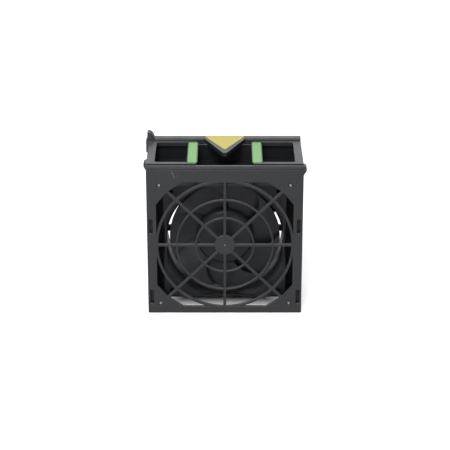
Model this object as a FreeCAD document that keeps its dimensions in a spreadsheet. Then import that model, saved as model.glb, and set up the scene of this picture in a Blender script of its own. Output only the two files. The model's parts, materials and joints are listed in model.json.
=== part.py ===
"""Hot-swap server fan module: a 120 mm axial fan in a pull-out housing with two squeeze latches.

Frame: X to the right, Y from the intake grille to the back, Z up, in millimetres. The origin is
the middle of the footprint, on the surface that the module stands on. Depths in the formulas
below are counted from the grille's front face and heights from the base.
"""
import FreeCAD, Part
import math
import os
import re
import Sketcher

VECTOR = FreeCAD.Vector
ACROSS = VECTOR(1, 0, 0)
BACKWARD = VECTOR(0, 1, 0)
UPWARD = VECTOR(0, 0, 1)

# Driving sizes. Every other size and place is worked out from these.
SIZES = {
    # outer housing
    "module_width": 152.0,
    "shell_depth": 67.5,
    "wall": 2.2,
    "floor_thickness": 2.2,
    "floor_bay_spare": 2.0,
    "floor_bay_margin": 4.5,
    "deck_gap": 0.4,
    "deck_thickness": 2.2,
    "compartment_height": 16.7,
    "partition_thickness": 2.2,
    "outlet_inset": 2.0,
    "edge_round": 1.6,
    "seat_gap": 0.3,
    "close_gap": 0.05,
    "press_gap": 0.01,
    # intake cover and its grille
    "cover_thickness": 3.0,
    "cover_drop": 1.0,
    "cover_round": 2.0,
    "skirt_depth": 0.9,
    "skirt_width": 1.6,
    "shadow_gap": 1.0,
    "tongue_width": 1.4,
    "tongue_overlap": 2.1,
    "window_half": 66.7,
    "window_rise": 65.8,
    "window_flat": 40.9,
    "window_knee_x": 56.6,
    "window_knee_z": 55.2,
    "window_side_z": 42.5,
    "hub_disc_radius": 10.2,
    "hub_dimple_radius": 1.7,
    "hub_dimple_depth": 0.6,
    "inner_ring_radius": 28.2,
    "middle_ring_radius": 47.1,
    "outer_ring_inset": 0.2,
    "ring_width": 2.0,
    "outer_ring_width": 2.8,
    "grille_depth": 2.6,
    "spoke_width": 2.9,
    "spoke_reach": 78.5,
    "spoke_count": 8,
    "stake_reach_x": 63.5,
    "stake_rise": 62.5,
    "stake_radius": 2.1,
    "stake_sides": 8,
    "stake_recess": 0.7,
    # snap arms that hold the cover
    "slot_inner": 70.4,
    "slot_width": 3.9,
    "slot_height": 14.9,
    "slot_ledge": 1.7,
    "slot_ledge_depth": 2.3,
    "slot_low": 10.1,
    "slot_high": 85.2,
    "arm_thickness": 1.6,
    "arm_length": 13.0,
    "arm_root": 4.0,
    "nib_setback": 1.5,
    # top frame
    "bezel_thickness": 3.8,
    "front_band": 5.1,
    "rear_band": 4.9,
    "side_band": 8.0,
    "opening_round": 3.0,
    "centre_gap_half": 28.0,
    "band_notch": 1.7,
    "end_wall": 2.2,
    "rail_depth": 8.6,
    "rail_rise": 2.6,
    "rail_end": 3.7,
    "rail_skin": 2.0,
    "rail_round": 1.9,
    "rail_rib_count": 5,
    "tab_half": 20.5,
    "tab_length": 48.0,
    "tab_thickness": 4.0,
    "tab_round": 3.0,
    "inlay_half": 20.5,
    "inlay_length": 41.0,
    "inlay_margin": 1.6,
    "inlay_thickness": 0.6,
    "inlay_proud": 0.1,
    "inlay_round": 1.5,
    "lug_rise": 6.1,
    "lug_width": 5.3,
    "lug_slope": 2.0,
    "lug_side": 3.0,
    "lug_drop": 12.5,
    "locating_lip": 3.0,
    # squeeze latches
    "grip_inner": 26.5,
    "grip_width": 10.2,
    "grip_rim": 0.5,
    "grip_wall": 1.6,
    "grip_rib_count": 6,
    "grip_cap": 2.0,
    "pad_border": 0.8,
    "pad_thickness": 1.2,
    "pad_proud": 0.1,
    "latch_travel": 4.0,
    "slide_thickness": 2.2,
    "hook_width": 10.0,
    "hook_reach": 3.2,
    "hook_flat": 3.0,
    "hook_lead": 6.7,
    "hook_back_slope": 1.5,
    "right_hook_depth": 12.4,
    "left_hook_depth": 24.4,
    "spring_outer": 6.4,
    "spring_wire": 0.8,
    "spring_turns": 5,
    "spring_steps": 8,
    "spring_length": 13.0,
    "post_thickness": 2.4,
    "spring_boss": 2.0,
    # fan frame, 120 mm square
    "fan_size": 120.0,
    "fan_depth": 38.0,
    "fan_setback": 7.0,
    "fan_lift": 13.0,
    "fan_wall": 2.8,
    "fan_corner": 5.0,
    "flange_thickness": 4.0,
    "bell_depth": 8.0,
    "screw_inset": 7.5,
    "screw_hole_radius": 2.15,
    "hole_sides": 12,
    "motor_base_radius": 27.5,
    "motor_base_thickness": 2.6,
    "strut_width": 6.0,
    "strut_depth": 3.4,
    "strut_count": 4,
    # impeller
    "hub_radius": 28.5,
    "hub_setback": 10.0,
    "hub_depth": 24.0,
    "hub_wall": 1.8,
    "hub_cap": 2.0,
    "hub_bevel": 2.6,
    "hub_boss_radius": 5.0,
    "hub_boss_depth": 2.0,
    "blade_count": 7,
    "blade_start_angle": 106.0,
    "blade_sweep_angle": -23.9,
    "blade_sweep_power": 1.6,
    "blade_root_angle": 71.4,
    "blade_tip_angle": 83.4,
    "blade_slope_angle": 18.6,
    "blade_skew_angle": -11.5,
    "blade_camber_radius": 132.0,
    "blade_setback": 11.3,
    "blade_thickness": 1.8,
    "tip_gap": 2.6,
    # motor
    "yoke_wall": 1.2,
    "yoke_depth": 18.0,
    "magnet_wall": 2.6,
    "magnet_depth": 14.0,
    "air_gap": 0.6,
    "shaft_radius": 2.0,
    "run_gap": 0.04,
    "bearing_radius": 4.5,
    "bearing_width": 4.0,
    "tube_wall": 1.5,
    "tube_length": 21.0,
    "tube_cap": 0.75,
    "end_room": 1.6,
    "preload_wire": 0.5,
    "preload_turns": 2,
    "core_depth": 10.0,
    "core_ring": 2.6,
    "tooth_width": 3.4,
    "tooth_tip": 1.6,
    "tooth_tip_width": 15.0,
    "tooth_count": 6,
    "insulator_thickness": 0.8,
    "winding_build": 2.4,
    "board_radius": 21.0,
    "board_sides": 16,
    "board_thickness": 1.2,
    "board_part_rise": 1.0,
    "chip_length": 6.0,
    "chip_width": 4.6,
    "sensor_length": 3.5,
    "sensor_width": 2.6,
    "capacitor_width": 4.2,
    "clip_radius": 3.4,
    "clip_thickness": 0.5,
    # rubber mounts
    "mount_head_half": 3.8,
    "mount_head": 1.8,
    "mount_barb_half": 2.8,
    "mount_barb_length": 5.0,
    "mount_neck_half": 1.4,
    # blind-mate connector in the base
    "connector_width": 26.0,
    "connector_length": 11.0,
    "connector_height": 11.0,
    "connector_setback": 10.9,
    "connector_mouth_depth": 6.6,
    "connector_wall": 1.6,
    "connector_flange": 2.0,
    "connector_flange_thickness": 1.6,
    "connector_clear": 0.4,
    "contact_count": 6,
    "contact_pitch": 3.2,
    "contact_width": 0.9,
    "contact_length": 3.6,
}

# Places that follow from the driving sizes, written as formulas over the sheet's cells.
HALF = "(module_width / 2)"
SHELL_FRONT = "(cover_thickness + skirt_depth + shadow_gap)"
SHELL_BACK = f"({SHELL_FRONT} + shell_depth)"
MODULE_DEPTH = f"({SHELL_BACK} + rail_depth)"
FAN_FRONT = "(cover_thickness + fan_setback)"
FAN_BACK = f"({FAN_FRONT} + fan_depth)"
AXIS_HEIGHT = "(fan_lift + fan_size / 2)"
DECK_BOTTOM = "(fan_lift + fan_size + deck_gap)"
DECK_TOP = f"({DECK_BOTTOM} + deck_thickness)"
BEZEL_BOTTOM = f"({DECK_TOP} + compartment_height)"
BEZEL_TOP = f"({BEZEL_BOTTOM} + bezel_thickness)"
RAIL_TOP = f"({BEZEL_TOP} + rail_rise)"
COVER_TOP = f"({BEZEL_TOP} - cover_drop)"
INNER = f"({HALF} - wall)"
OUTER_RING = "(window_half - outer_ring_inset)"
BAY_HALF = "(fan_size / 2 + floor_bay_spare / 2)"
OUTLET_RADIUS = "(fan_size / 2 - outlet_inset)"
SCREW_REACH = "(fan_size / 2 - screw_inset)"
CONNECTOR_DEPTH = f"({SHELL_BACK} - connector_setback)"
BORE = "(fan_size / 2 - fan_wall)"
PARTITION_FRONT = f"({FAN_BACK} + seat_gap)"
MOTOR_BASE_FRONT = "(fan_depth - motor_base_thickness)"
TUBE_RADIUS = "(bearing_radius + tube_wall)"
GRIP_FRONT = f"({SHELL_FRONT} + front_band - band_notch + seat_gap)"
GRIP_BACK = f"({SHELL_BACK} - rear_band + band_notch - seat_gap)"
SLIDE_BOTTOM = f"({DECK_TOP} + seat_gap)"
SLIDE_TOP = f"({SLIDE_BOTTOM} + slide_thickness)"
SLIDE_OUTER = f"({INNER} - seat_gap)"
HOOK_ARM_INNER = f"({SLIDE_OUTER} - slide_thickness)"
HOOK_TOP = f"({BEZEL_BOTTOM} - seat_gap)"
SPRING_HEIGHT = f"(({SLIDE_TOP} + {HOOK_TOP}) / 2)"
POST_OUTER = f"({HOOK_ARM_INNER} - seat_gap - spring_length - seat_gap)"
POST_TOP = f"({SPRING_HEIGHT} + spring_outer / 2)"
CUP_FRONT = "(hub_setback + hub_cap + close_gap)"
CUP_RADIUS = "(hub_radius - hub_wall - close_gap)"
MAGNET_RADIUS = f"({CUP_RADIUS} - yoke_wall - close_gap)"
MAGNET_BORE = f"({MAGNET_RADIUS} - magnet_wall)"
YOKE_BACK = f"({CUP_FRONT} + yoke_wall + yoke_depth)"
CORE_RADIUS = f"({MAGNET_BORE} - air_gap)"
CORE_BORE = f"({TUBE_RADIUS} + close_gap)"
TUBE_BACK = "(fan_depth - motor_base_thickness / 4)"
TUBE_FRONT = f"({TUBE_BACK} - tube_length)"
CORE_FRONT = f"({YOKE_BACK} - magnet_depth / 2 - core_depth / 2 - yoke_wall)"
CORE_BACK = f"({CORE_FRONT} + core_depth)"
BOARD_FRONT = f"({MOTOR_BASE_FRONT} - tube_wall - close_gap - board_thickness)"
SHAFT_FRONT = "(hub_setback + hub_cap / 2 + close_gap)"
SHAFT_BACK = f"({TUBE_BACK} - tube_cap - seat_gap)"
FRONT_BEARING = f"({TUBE_FRONT} + close_gap)"
REAR_BEARING = f"({TUBE_BACK} - tube_cap - end_room - bearing_width)"
CLIP_FRONT = f"({REAR_BEARING} + bearing_width + close_gap)"
BOSS_BACK = "(hub_setback + hub_cap + hub_boss_depth)"

doc = FreeCAD.newDocument("server_fan_module")
sheet = doc.addObject("Spreadsheet::Sheet", "Sizes")


def fill_sheet():
    """One row per size: its name, its value and the alias that formulas use."""
    for row, (name, value) in enumerate(SIZES.items(), start=1):
        sheet.set(f"A{row}", name)
        sheet.set(f"B{row}", str(value))
        sheet.setAlias(f"B{row}", name)
    doc.recompute()


def bind(formula):
    """Put the sheet's name before every size in a formula."""
    def cell(match):
        word = match.group(0)
        return f"Sizes.{word}" if word in SIZES else word
    return re.sub(r"[a-z][a-z_]*", cell, str(formula))


def number(formula):
    """The value of a formula at the sheet's present sizes."""
    return float(sheet.evalExpression(bind(formula)))


def drive(target, **formulas):
    """Bind properties of an object to formulas; Base_x stands for Placement.Base.x."""
    for name, formula in formulas.items():
        path = name.replace("Base_", "Placement.Base.")
        target.setExpression(path, bind(formula))


def place(target, depth="0", height="0", across="0"):
    """Stand an object at a depth behind the grille's face and a height over the base."""
    drive(target, Base_x=across, Base_y=f"{depth} - {MODULE_DEPTH} / 2", Base_z=height)


def new_body(label, depth="0", height="0"):
    body = doc.addObject("PartDesign::Body", label)
    body.Label = label
    place(body, depth, height)
    return body


def sketch_on(body, role, lift):
    """A sketch on one of the body's own origin planes, lifted along that plane's normal."""
    profile = body.newObject("Sketcher::SketchObject", "profile")
    plane = next(item for item in body.Origin.OriginFeatures if item.Role == role)
    profile.AttachmentSupport = [(plane, "")]
    profile.MapMode = "FlatFace"
    profile.setExpression("AttachmentOffset.Base.z", bind(lift))
    return profile


def front_sketch(body, depth="0"):
    """Drawn in X and Z. A pad from it is reversed to run back; a pocket runs back by itself."""
    return sketch_on(body, "XZ_Plane", f"-({depth})")


def top_sketch(body, height="0"):
    """Drawn in X and Y. A pad from it rises, and a pocket goes down."""
    return sketch_on(body, "XY_Plane", height)


def side_sketch(body, across="0"):
    """Drawn in Y and Z. A pad from it runs to the right, and a pocket to the left."""
    return sketch_on(body, "YZ_Plane", across)


def pin_point(profile, item, end, across, along):
    """Fix one point of a sketch's geometry at a pair of formulas."""
    for kind, formula in (("DistanceX", across), ("DistanceY", along)):
        index = profile.addConstraint(Sketcher.Constraint(kind, item, end, number(formula)))
        profile.setExpression(f"Constraints[{index}]", bind(formula))


def outline(profile, corners):
    """Closed straight-sided outline whose corners are pairs of formulas."""
    spots = [VECTOR(number(across), number(along), 0) for across, along in corners]
    first = profile.GeometryCount
    count = len(spots)
    for index, spot in enumerate(spots):
        profile.addGeometry(Part.LineSegment(spot, spots[(index + 1) % count]), False)
    for index in range(count):
        following = first + (index + 1) % count
        profile.addConstraint(Sketcher.Constraint("Coincident", first + index, 2, following, 1))
    for index, (across, along) in enumerate(corners):
        pin_point(profile, first + index, 1, across, along)


def rectangle(profile, left, right, low, high):
    outline(profile, [(left, low), (right, low), (right, high), (left, high)])


def circle(profile, radius, across="0", along="0"):
    centre = VECTOR(number(across), number(along), 0)
    item = profile.addGeometry(Part.Circle(centre, VECTOR(0, 0, 1), number(radius)), False)
    pin_point(profile, item, 3, across, along)
    index = profile.addConstraint(Sketcher.Constraint("Radius", item, number(radius)))
    profile.setExpression(f"Constraints[{index}]", bind(radius))


def polygon(profile, radius, sides, across="0", along="0"):
    """A regular polygon about a point, whose flats lie at the radius."""
    reach = f"({radius}) / cos(180 / ({sides}))"
    spots = []
    for index in range(int(number(str(sides)))):
        turn = f"(({index} + 0.5) * 360 / ({sides}))"
        spots.append((f"{across} + {reach} * cos({turn})", f"{along} + {reach} * sin({turn})"))
    outline(profile, spots)


def feature(body, kind, profile, **formulas):
    made = body.newObject(f"PartDesign::{kind}", kind.lower())
    made.Profile = profile
    drive(made, **formulas)
    return made


def pad(body, profile, length, back=False):
    made = feature(body, "Pad", profile, Length=length)
    made.Reversed = back
    return made


def pocket(body, profile, length, other_way=False):
    made = feature(body, "Pocket", profile, Length=length)
    made.Reversed = other_way
    return made


def turned(body, kind, profile):
    """Revolution or Groove right round the body's Y axis."""
    made = feature(body, kind, profile)
    axis = next(item for item in body.Origin.OriginFeatures if item.Role == "Y_Axis")
    made.ReferenceAxis = (axis, [""])
    made.Angle = 360.0
    return made


def repeat_round(body, seed, count):
    """Polar pattern of one feature about the body's Y axis."""
    pattern = body.newObject("PartDesign::PolarPattern", "pattern")
    axis = next(item for item in body.Origin.OriginFeatures if item.Role == "Y_Axis")
    pattern.Originals = [seed]
    pattern.Axis = (axis, [""])
    pattern.Angle = 360.0
    drive(pattern, Occurrences=count)
    body.Tip = pattern
    return pattern


def edges_along(made, direction, test):
    """Names of a feature's straight edges that run along a direction and pass a test."""
    doc.recompute()
    names = []
    for index, edge in enumerate(made.Shape.Edges, start=1):
        if len(edge.Vertexes) != 2 or not isinstance(edge.Curve, Part.Line):
            continue
        low, high = [vertex.Point for vertex in edge.Vertexes]
        if (high - low).cross(direction).Length < 0.001 and test((low + high) / 2):
            names.append(f"Edge{index}")
    return names


def near(value, *formulas):
    """Whether a coordinate lies at any of the given formulas."""
    return any(abs(value - number(formula)) < 0.01 for formula in formulas)


def rounded(body, made, names, radius, kind="Fillet"):
    finish = body.newObject(f"PartDesign::{kind}", kind.lower())
    finish.Base = (made, names)
    drive(finish, **{"Radius" if kind == "Fillet" else "Size": radius})
    return finish


def window_outline(profile):
    """Eight-sided window of the cover about the fan's axis, with the corners cut off twice."""
    quarter = [("window_flat", "window_rise"), ("window_knee_x", "window_knee_z"),
               ("window_half", "window_side_z")]
    upper_left = [(f"-{across}", height) for across, height in reversed(quarter)]
    lower_left = [(f"-{across}", f"-{height}") for across, height in quarter]
    lower_right = [(across, f"-{height}") for across, height in reversed(quarter)]
    outline(profile, quarter + lower_right + lower_left + upper_left)


def front_cover():
    """Intake cover: a plate with a skirt, an eight-sided window and the ring-and-spoke grille."""
    body = new_body("front_cover", height=AXIS_HEIGHT)
    low = f"-{AXIS_HEIGHT}"
    high = f"{COVER_TOP} - {AXIS_HEIGHT}"

    plate = front_sketch(body)
    rectangle(plate, f"-{HALF}", HALF, low, high)
    window_outline(plate)
    pad(body, plate, "cover_thickness", back=True)

    skirt = front_sketch(body, "cover_thickness")
    rectangle(skirt, f"-{HALF}", HALF, low, high)
    rectangle(skirt, f"-{HALF} + skirt_width", f"{HALF} - skirt_width",
              f"{low} + skirt_width", f"{high} - skirt_width")
    slab = pad(body, skirt, "skirt_depth", back=True)

    corners = edges_along(slab, BACKWARD, lambda spot: near(spot.x, HALF, f"-{HALF}"))
    slab = rounded(body, slab, corners, "cover_round")
    rim = edges_along(slab, ACROSS, lambda spot: near(spot.y, "0") and near(spot.z, low, high))
    slab = rounded(body, slab, rim[:1], "edge_round")

    slots = front_sketch(body)
    for side in (1, -1):
        for bottom in ("slot_low", "slot_high"):
            edge = f"{bottom} - {AXIS_HEIGHT}"
            ends = [f"{side} * slot_inner", f"{side} * (slot_inner + slot_width)"]
            rectangle(slots, *ends, edge, f"{edge} + slot_height")
    pocket(body, slots, "slot_ledge_depth")
    through = front_sketch(body)
    for side in (1, -1):
        for bottom in ("slot_low", "slot_high"):
            edge = f"{bottom} - {AXIS_HEIGHT}"
            ends = [f"{side} * slot_inner", f"{side} * (slot_inner + slot_width - slot_ledge)"]
            rectangle(through, *ends, edge, f"{edge} + slot_height")
    pocket(body, through, "cover_thickness")

    recess = front_sketch(body)
    for side in (1, -1):
        for rise in ("stake_rise", "-stake_rise"):
            polygon(recess, "stake_radius", "stake_sides", f"{side} * stake_reach_x", rise)
    pocket(body, recess, "stake_recess")

    for radius, width in ((OUTER_RING, "outer_ring_width"),
                          ("middle_ring_radius", "ring_width"),
                          ("inner_ring_radius", "ring_width")):
        ring = front_sketch(body)
        circle(ring, f"{radius} + {width} / 2")
        circle(ring, f"{radius} - {width} / 2")
        pad(body, ring, "grille_depth", back=True)
    disc = front_sketch(body)
    circle(disc, "hub_disc_radius")
    pad(body, disc, "grille_depth", back=True)
    spoke = front_sketch(body)
    rectangle(spoke, "-spoke_width / 2", "spoke_width / 2", "hub_disc_radius / 2", OUTER_RING)
    bar = pad(body, spoke, "grille_depth", back=True)
    repeat_round(body, bar, "spoke_count")
    brace = front_sketch(body)
    for side in (1, -1):
        for rise in (1, -1):
            diagonal_bar(brace, side, rise)
    pad(body, brace, "grille_depth", back=True)
    dimple = front_sketch(body)
    circle(dimple, "hub_dimple_radius")
    pocket(body, dimple, "hub_dimple_depth")
    return body


def diagonal_bar(profile, side, rise):
    """The stretch of a diagonal spoke from the outer ring to the window's corner."""
    spots = []
    for reach, offset in ((OUTER_RING, -1), ("spoke_reach", -1),
                          ("spoke_reach", 1), (OUTER_RING, 1)):
        spots.append((f"{side} * ({reach} - {offset} * spoke_width / 2) * cos(45)",
                      f"{rise} * ({reach} + {offset} * spoke_width / 2) * sin(45)"))
    outline(profile, spots)


def housing():
    """Open-ended duct shell: side walls, floor, deck over the fan and the rear partition."""
    body = new_body("housing")
    shell = front_sketch(body, SHELL_FRONT)
    outline(shell, [(f"-{HALF}", "0"), (HALF, "0"), (HALF, BEZEL_BOTTOM), (INNER, BEZEL_BOTTOM),
                    (INNER, "floor_thickness"), (f"-{INNER}", "floor_thickness"),
                    (f"-{INNER}", BEZEL_BOTTOM), (f"-{HALF}", BEZEL_BOTTOM)])
    walls = pad(body, shell, "shell_depth", back=True)
    corners = edges_along(walls, BACKWARD, lambda spot: near(spot.z, "0"))
    rounded(body, walls, corners, "cover_round")

    deck = front_sketch(body, SHELL_FRONT)
    rectangle(deck, f"-{INNER} - wall / 2", f"{INNER} + wall / 2", DECK_BOTTOM, DECK_TOP)
    pad(body, deck, "shell_depth", back=True)
    partition(body)
    compartment_ends(body)
    cover_tongue(body)
    floor_openings(body)
    snap_arms(body)
    hook_windows(body)
    spring_posts(body)
    return body


def partition(body):
    """Cross wall behind the fan with the round outlet and the four holes of the rubber mounts."""
    wall = front_sketch(body, PARTITION_FRONT)
    rectangle(wall, f"-{INNER} - wall / 2", f"{INNER} + wall / 2", "floor_thickness / 2",
              f"{DECK_BOTTOM} + deck_thickness / 2")
    circle(wall, OUTLET_RADIUS, "0", AXIS_HEIGHT)
    for side in (1, -1):
        for rise in (1, -1):
            polygon(wall, "screw_hole_radius", "hole_sides", f"{side} * {SCREW_REACH}",
                    f"{AXIS_HEIGHT} + {rise} * {SCREW_REACH}")
    pad(body, wall, "partition_thickness", back=True)


def compartment_ends(body):
    """Front and back walls of the latch compartment; the front one is open in the middle."""
    front = front_sketch(body, SHELL_FRONT)
    for side in (1, -1):
        rectangle(front, f"{side} * centre_gap_half", f"{side} * ({INNER} + wall / 2)",
                  f"{DECK_TOP} - deck_thickness / 2", BEZEL_BOTTOM)
    pad(body, front, "end_wall", back=True)
    back = front_sketch(body, f"{SHELL_BACK} - end_wall")
    rectangle(back, f"-{INNER} - wall / 2", f"{INNER} + wall / 2",
              f"{DECK_TOP} - deck_thickness / 2", BEZEL_BOTTOM)
    pad(body, back, "end_wall", back=True)


def cover_tongue(body):
    """Lip at the shell's mouth that the cover's skirt closes over, cut away at the snap arms."""
    outer = f"({HALF} - skirt_width - seat_gap)"
    inner = f"({outer} - tongue_width)"
    low = "(skirt_width + seat_gap)"
    lip = front_sketch(body, "cover_thickness + close_gap")
    outline(lip, [(f"-{outer}", low), (outer, low), (outer, DECK_BOTTOM), (inner, DECK_BOTTOM),
                  (inner, f"{low} + tongue_width"), (f"-{inner}", f"{low} + tongue_width"),
                  (f"-{inner}", DECK_BOTTOM), (f"-{outer}", DECK_BOTTOM)])
    pad(body, lip, f"{SHELL_FRONT} - cover_thickness - close_gap + tongue_overlap", back=True)
    gaps = front_sketch(body)
    for side in (1, -1):
        for bottom in ("slot_low", "slot_high"):
            rectangle(gaps, f"{side} * ({inner} - tongue_width)", f"{side} * {HALF}",
                      f"{bottom} - tongue_width", f"{bottom} + slot_height + tongue_width")
    pocket(body, gaps, SHELL_FRONT)


def floor_openings(body):
    """Bay under the fan that stays open, and the seat of the connector behind the partition."""
    bay = top_sketch(body, f"{DECK_BOTTOM} / 2")
    rectangle(bay, f"-{BAY_HALF}", BAY_HALF,
              f"{SHELL_FRONT} + floor_bay_margin", f"{PARTITION_FRONT} - floor_bay_margin")
    pocket(body, bay, f"{DECK_BOTTOM} / 2")
    seat = top_sketch(body, "connector_height / 2")
    rectangle(seat, "-connector_width / 2 - close_gap", "connector_width / 2 + close_gap",
              f"{CONNECTOR_DEPTH} - connector_length / 2 - close_gap",
              f"{CONNECTOR_DEPTH} + connector_length / 2 + close_gap")
    pocket(body, seat, "connector_height")


def snap_arms(body):
    """Four spring arms on the side walls; their noses hook over the ledges in the cover's slots."""
    for side in (1, -1):
        for bottom in ("slot_low", "slot_high"):
            arm = top_sketch(body, f"{bottom} + seat_gap")
            inner = "(slot_inner + seat_gap)"
            outer = f"({inner} + arm_thickness)"
            nose = "(slot_inner + slot_width - seat_gap)"
            catch = "(slot_ledge_depth - close_gap)"
            root = f"({SHELL_FRONT} + arm_length)"
            corners = [(inner, "nib_setback"), (outer, "nib_setback"), (nose, catch),
                       (outer, catch), (outer, f"{root} - arm_root"),
                       (f"{INNER} + wall / 2", f"{root} - arm_root"),
                       (f"{INNER} + wall / 2", root), (inner, root)]
            outline(arm, [(f"{side} * ({across})", along) for across, along in corners])
            pad(body, arm, "slot_height - 2 * seat_gap")


def hook_windows(body):
    """One window in each side wall, open at the top, for the latch hook to come through."""
    for across, depth in ((HALF, "right_hook_depth"), (f"-{INNER}", "left_hook_depth")):
        window = side_sketch(body, across)
        rectangle(window, f"{depth} - hook_width / 2 - seat_gap", f"{depth} + hook_width / 2 + seat_gap",
                  f"{HOOK_TOP} - hook_flat - hook_lead - hook_back_slope - 2 * seat_gap",
                  f"{BEZEL_BOTTOM} + wall")
        pocket(body, window, "wall")


def spring_posts(body):
    """Two posts on the deck that the latch springs push against, each with a centring boss."""
    for side, depth in ((1, "right_hook_depth"), (-1, "left_hook_depth")):
        post = top_sketch(body, f"{DECK_TOP} - deck_thickness / 2")
        rectangle(post, f"{side} * ({POST_OUTER} - post_thickness)", f"{side} * {POST_OUTER}",
                  f"{depth} - spring_outer / 2", f"{depth} + spring_outer / 2")
        pad(body, post, f"{POST_TOP} - {DECK_TOP} + deck_thickness / 2")
        boss = side_sketch(body, f"{side} * {POST_OUTER}")
        polygon(boss, "spring_outer / 2 - spring_wire - seat_gap", "stake_sides", depth, SPRING_HEIGHT)
        made = pad(body, boss, "spring_boss")
        made.Reversed = side < 0


def top_frame():
    """Bezel round the latch opening, rear rail, pointed finger tab and locating lug."""
    body = new_body("top_frame")
    plate = top_sketch(body, BEZEL_BOTTOM)
    rectangle(plate, f"-{HALF}", HALF, SHELL_FRONT, SHELL_BACK)
    slab = pad(body, plate, "bezel_thickness")
    rim = edges_along(slab, BACKWARD, lambda spot: near(spot.z, BEZEL_TOP))
    rounded(body, slab, rim, "edge_round / 2")

    opening = top_sketch(body, BEZEL_TOP)
    rectangle(opening, f"side_band - {HALF}", f"{HALF} - side_band",
              f"{SHELL_FRONT} + front_band", f"{SHELL_BACK} - rear_band")
    cut = pocket(body, opening, "bezel_thickness")
    corners = edges_along(cut, UPWARD, lambda spot: near(
        spot.x, f"side_band - {HALF}", f"{HALF} - side_band"))
    rounded(body, cut, corners, "opening_round")

    notch = top_sketch(body, BEZEL_TOP)
    reach = "(grip_inner + grip_width + 2 * seat_gap)"
    rectangle(notch, f"-{reach}", reach, f"{GRIP_FRONT} - seat_gap", f"{GRIP_BACK} + seat_gap")
    pocket(body, notch, "bezel_thickness")
    gap = top_sketch(body, BEZEL_TOP)
    rectangle(gap, "-centre_gap_half", "centre_gap_half", f"{SHELL_FRONT} - wall", SHELL_BACK)
    pocket(body, gap, "bezel_thickness")
    rear_rail(body)
    finger_tab(body)
    locating_lug(body)
    locating_lips(body)
    return body


def rear_rail(body):
    """Raised rail along the back, hollow from below with cross ribs."""
    bar = front_sketch(body, SHELL_BACK)
    rectangle(bar, f"rail_end - {HALF}", HALF, BEZEL_BOTTOM, RAIL_TOP)
    made = pad(body, bar, "rail_depth", back=True)
    front = edges_along(made, ACROSS, lambda spot: near(spot.z, RAIL_TOP) and near(spot.y, SHELL_BACK))
    made = rounded(body, made, front, "rail_round")
    rear = edges_along(made, ACROSS, lambda spot: near(spot.z, RAIL_TOP) and near(spot.y, MODULE_DEPTH))
    rounded(body, made, rear, "edge_round / 3")
    hollow = top_sketch(body, BEZEL_BOTTOM)
    span = f"({HALF} * 2 - rail_end - rail_skin)"
    cells = int(number("rail_rib_count")) + 1
    for cell in range(cells):
        left = f"(rail_end - {HALF} + rail_skin + {cell} * {span} / {cells})"
        rectangle(hollow, left, f"{left} + {span} / {cells} - rail_skin",
                  f"{SHELL_BACK} + rail_skin", f"{MODULE_DEPTH} - rail_skin")
    pocket(body, hollow, f"{RAIL_TOP} - {BEZEL_BOTTOM} - rail_skin", other_way=True)


def finger_tab(body):
    """Pointed tab that reaches forward from the rail, with a shallow seat for its inlay."""
    tab = top_sketch(body, f"{RAIL_TOP} - tab_thickness")
    outline(tab, [("tab_half", f"{SHELL_BACK} + rail_skin"), ("tab_half", SHELL_BACK),
                  ("0", f"{SHELL_BACK} - tab_length"), ("-tab_half", SHELL_BACK),
                  ("-tab_half", f"{SHELL_BACK} + rail_skin")])
    made = pad(body, tab, "tab_thickness")
    point = edges_along(made, UPWARD, lambda spot: near(spot.y, f"{SHELL_BACK} - tab_length"))
    rounded(body, made, point, "tab_round")
    seat = top_sketch(body, RAIL_TOP)
    triangle(seat, "close_gap")
    pocket(body, seat, "inlay_thickness")


def triangle(profile, margin):
    """Triangle of the tab's inlay, its point to the front, widened by a margin."""
    base = f"({MODULE_DEPTH} - inlay_margin + {margin})"
    half = f"(inlay_half + 2 * {margin})"
    outline(profile, [(half, base), ("0", f"{MODULE_DEPTH} - inlay_margin - inlay_length - 2 * {margin}"),
                      (f"-{half}", base)])


def locating_lug(body):
    """Lug at the rear left corner: a nose above the rail and a guide rib down the outside."""
    lug = front_sketch(body, SHELL_BACK)
    outline(lug, [(f"-{HALF} - lug_side", f"{RAIL_TOP} - rail_rise - lug_drop"),
                  (f"-{HALF} - close_gap", f"{RAIL_TOP} - rail_rise - lug_drop"),
                  (f"-{HALF} - close_gap", BEZEL_BOTTOM),
                  (f"rail_end + rail_skin - {HALF}", BEZEL_BOTTOM),
                  (f"rail_end + rail_skin - {HALF}", RAIL_TOP),
                  (f"rail_end - {HALF}", f"{RAIL_TOP} + lug_rise - lug_slope"),
                  (f"rail_end - {HALF} - lug_width / 2", f"{RAIL_TOP} + lug_rise"),
                  (f"rail_end - {HALF} - lug_width", f"{RAIL_TOP} + lug_rise"),
                  (f"rail_end - {HALF} - lug_width", RAIL_TOP),
                  (f"-{HALF} - lug_side", f"{RAIL_TOP} - rail_rise")])
    pad(body, lug, "rail_depth", back=True)


def locating_lips(body):
    """Two lips under the side bands that drop inside the housing's walls."""
    for side in (1, -1):
        lip = top_sketch(body, f"{BEZEL_BOTTOM} - locating_lip")
        outer = f"({INNER} - close_gap)"
        rectangle(lip, f"{side} * ({outer} - tongue_width)", f"{side} * {outer}",
                  "left_hook_depth + hook_width", f"{SHELL_BACK} - end_wall - seat_gap")
        pad(body, lip, "locating_lip + bezel_thickness / 2")


def tab_inlay():
    """Thin plain yellow triangle let into the finger tab."""
    body = new_body("tab_inlay")
    sheet_plan = top_sketch(body, f"{RAIL_TOP} - inlay_thickness")
    triangle(sheet_plan, "0")
    made = pad(body, sheet_plan, "inlay_thickness + inlay_proud")
    corners = edges_along(made, UPWARD, lambda spot: True)
    rounded(body, made, corners, "inlay_round")
    return body


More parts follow.
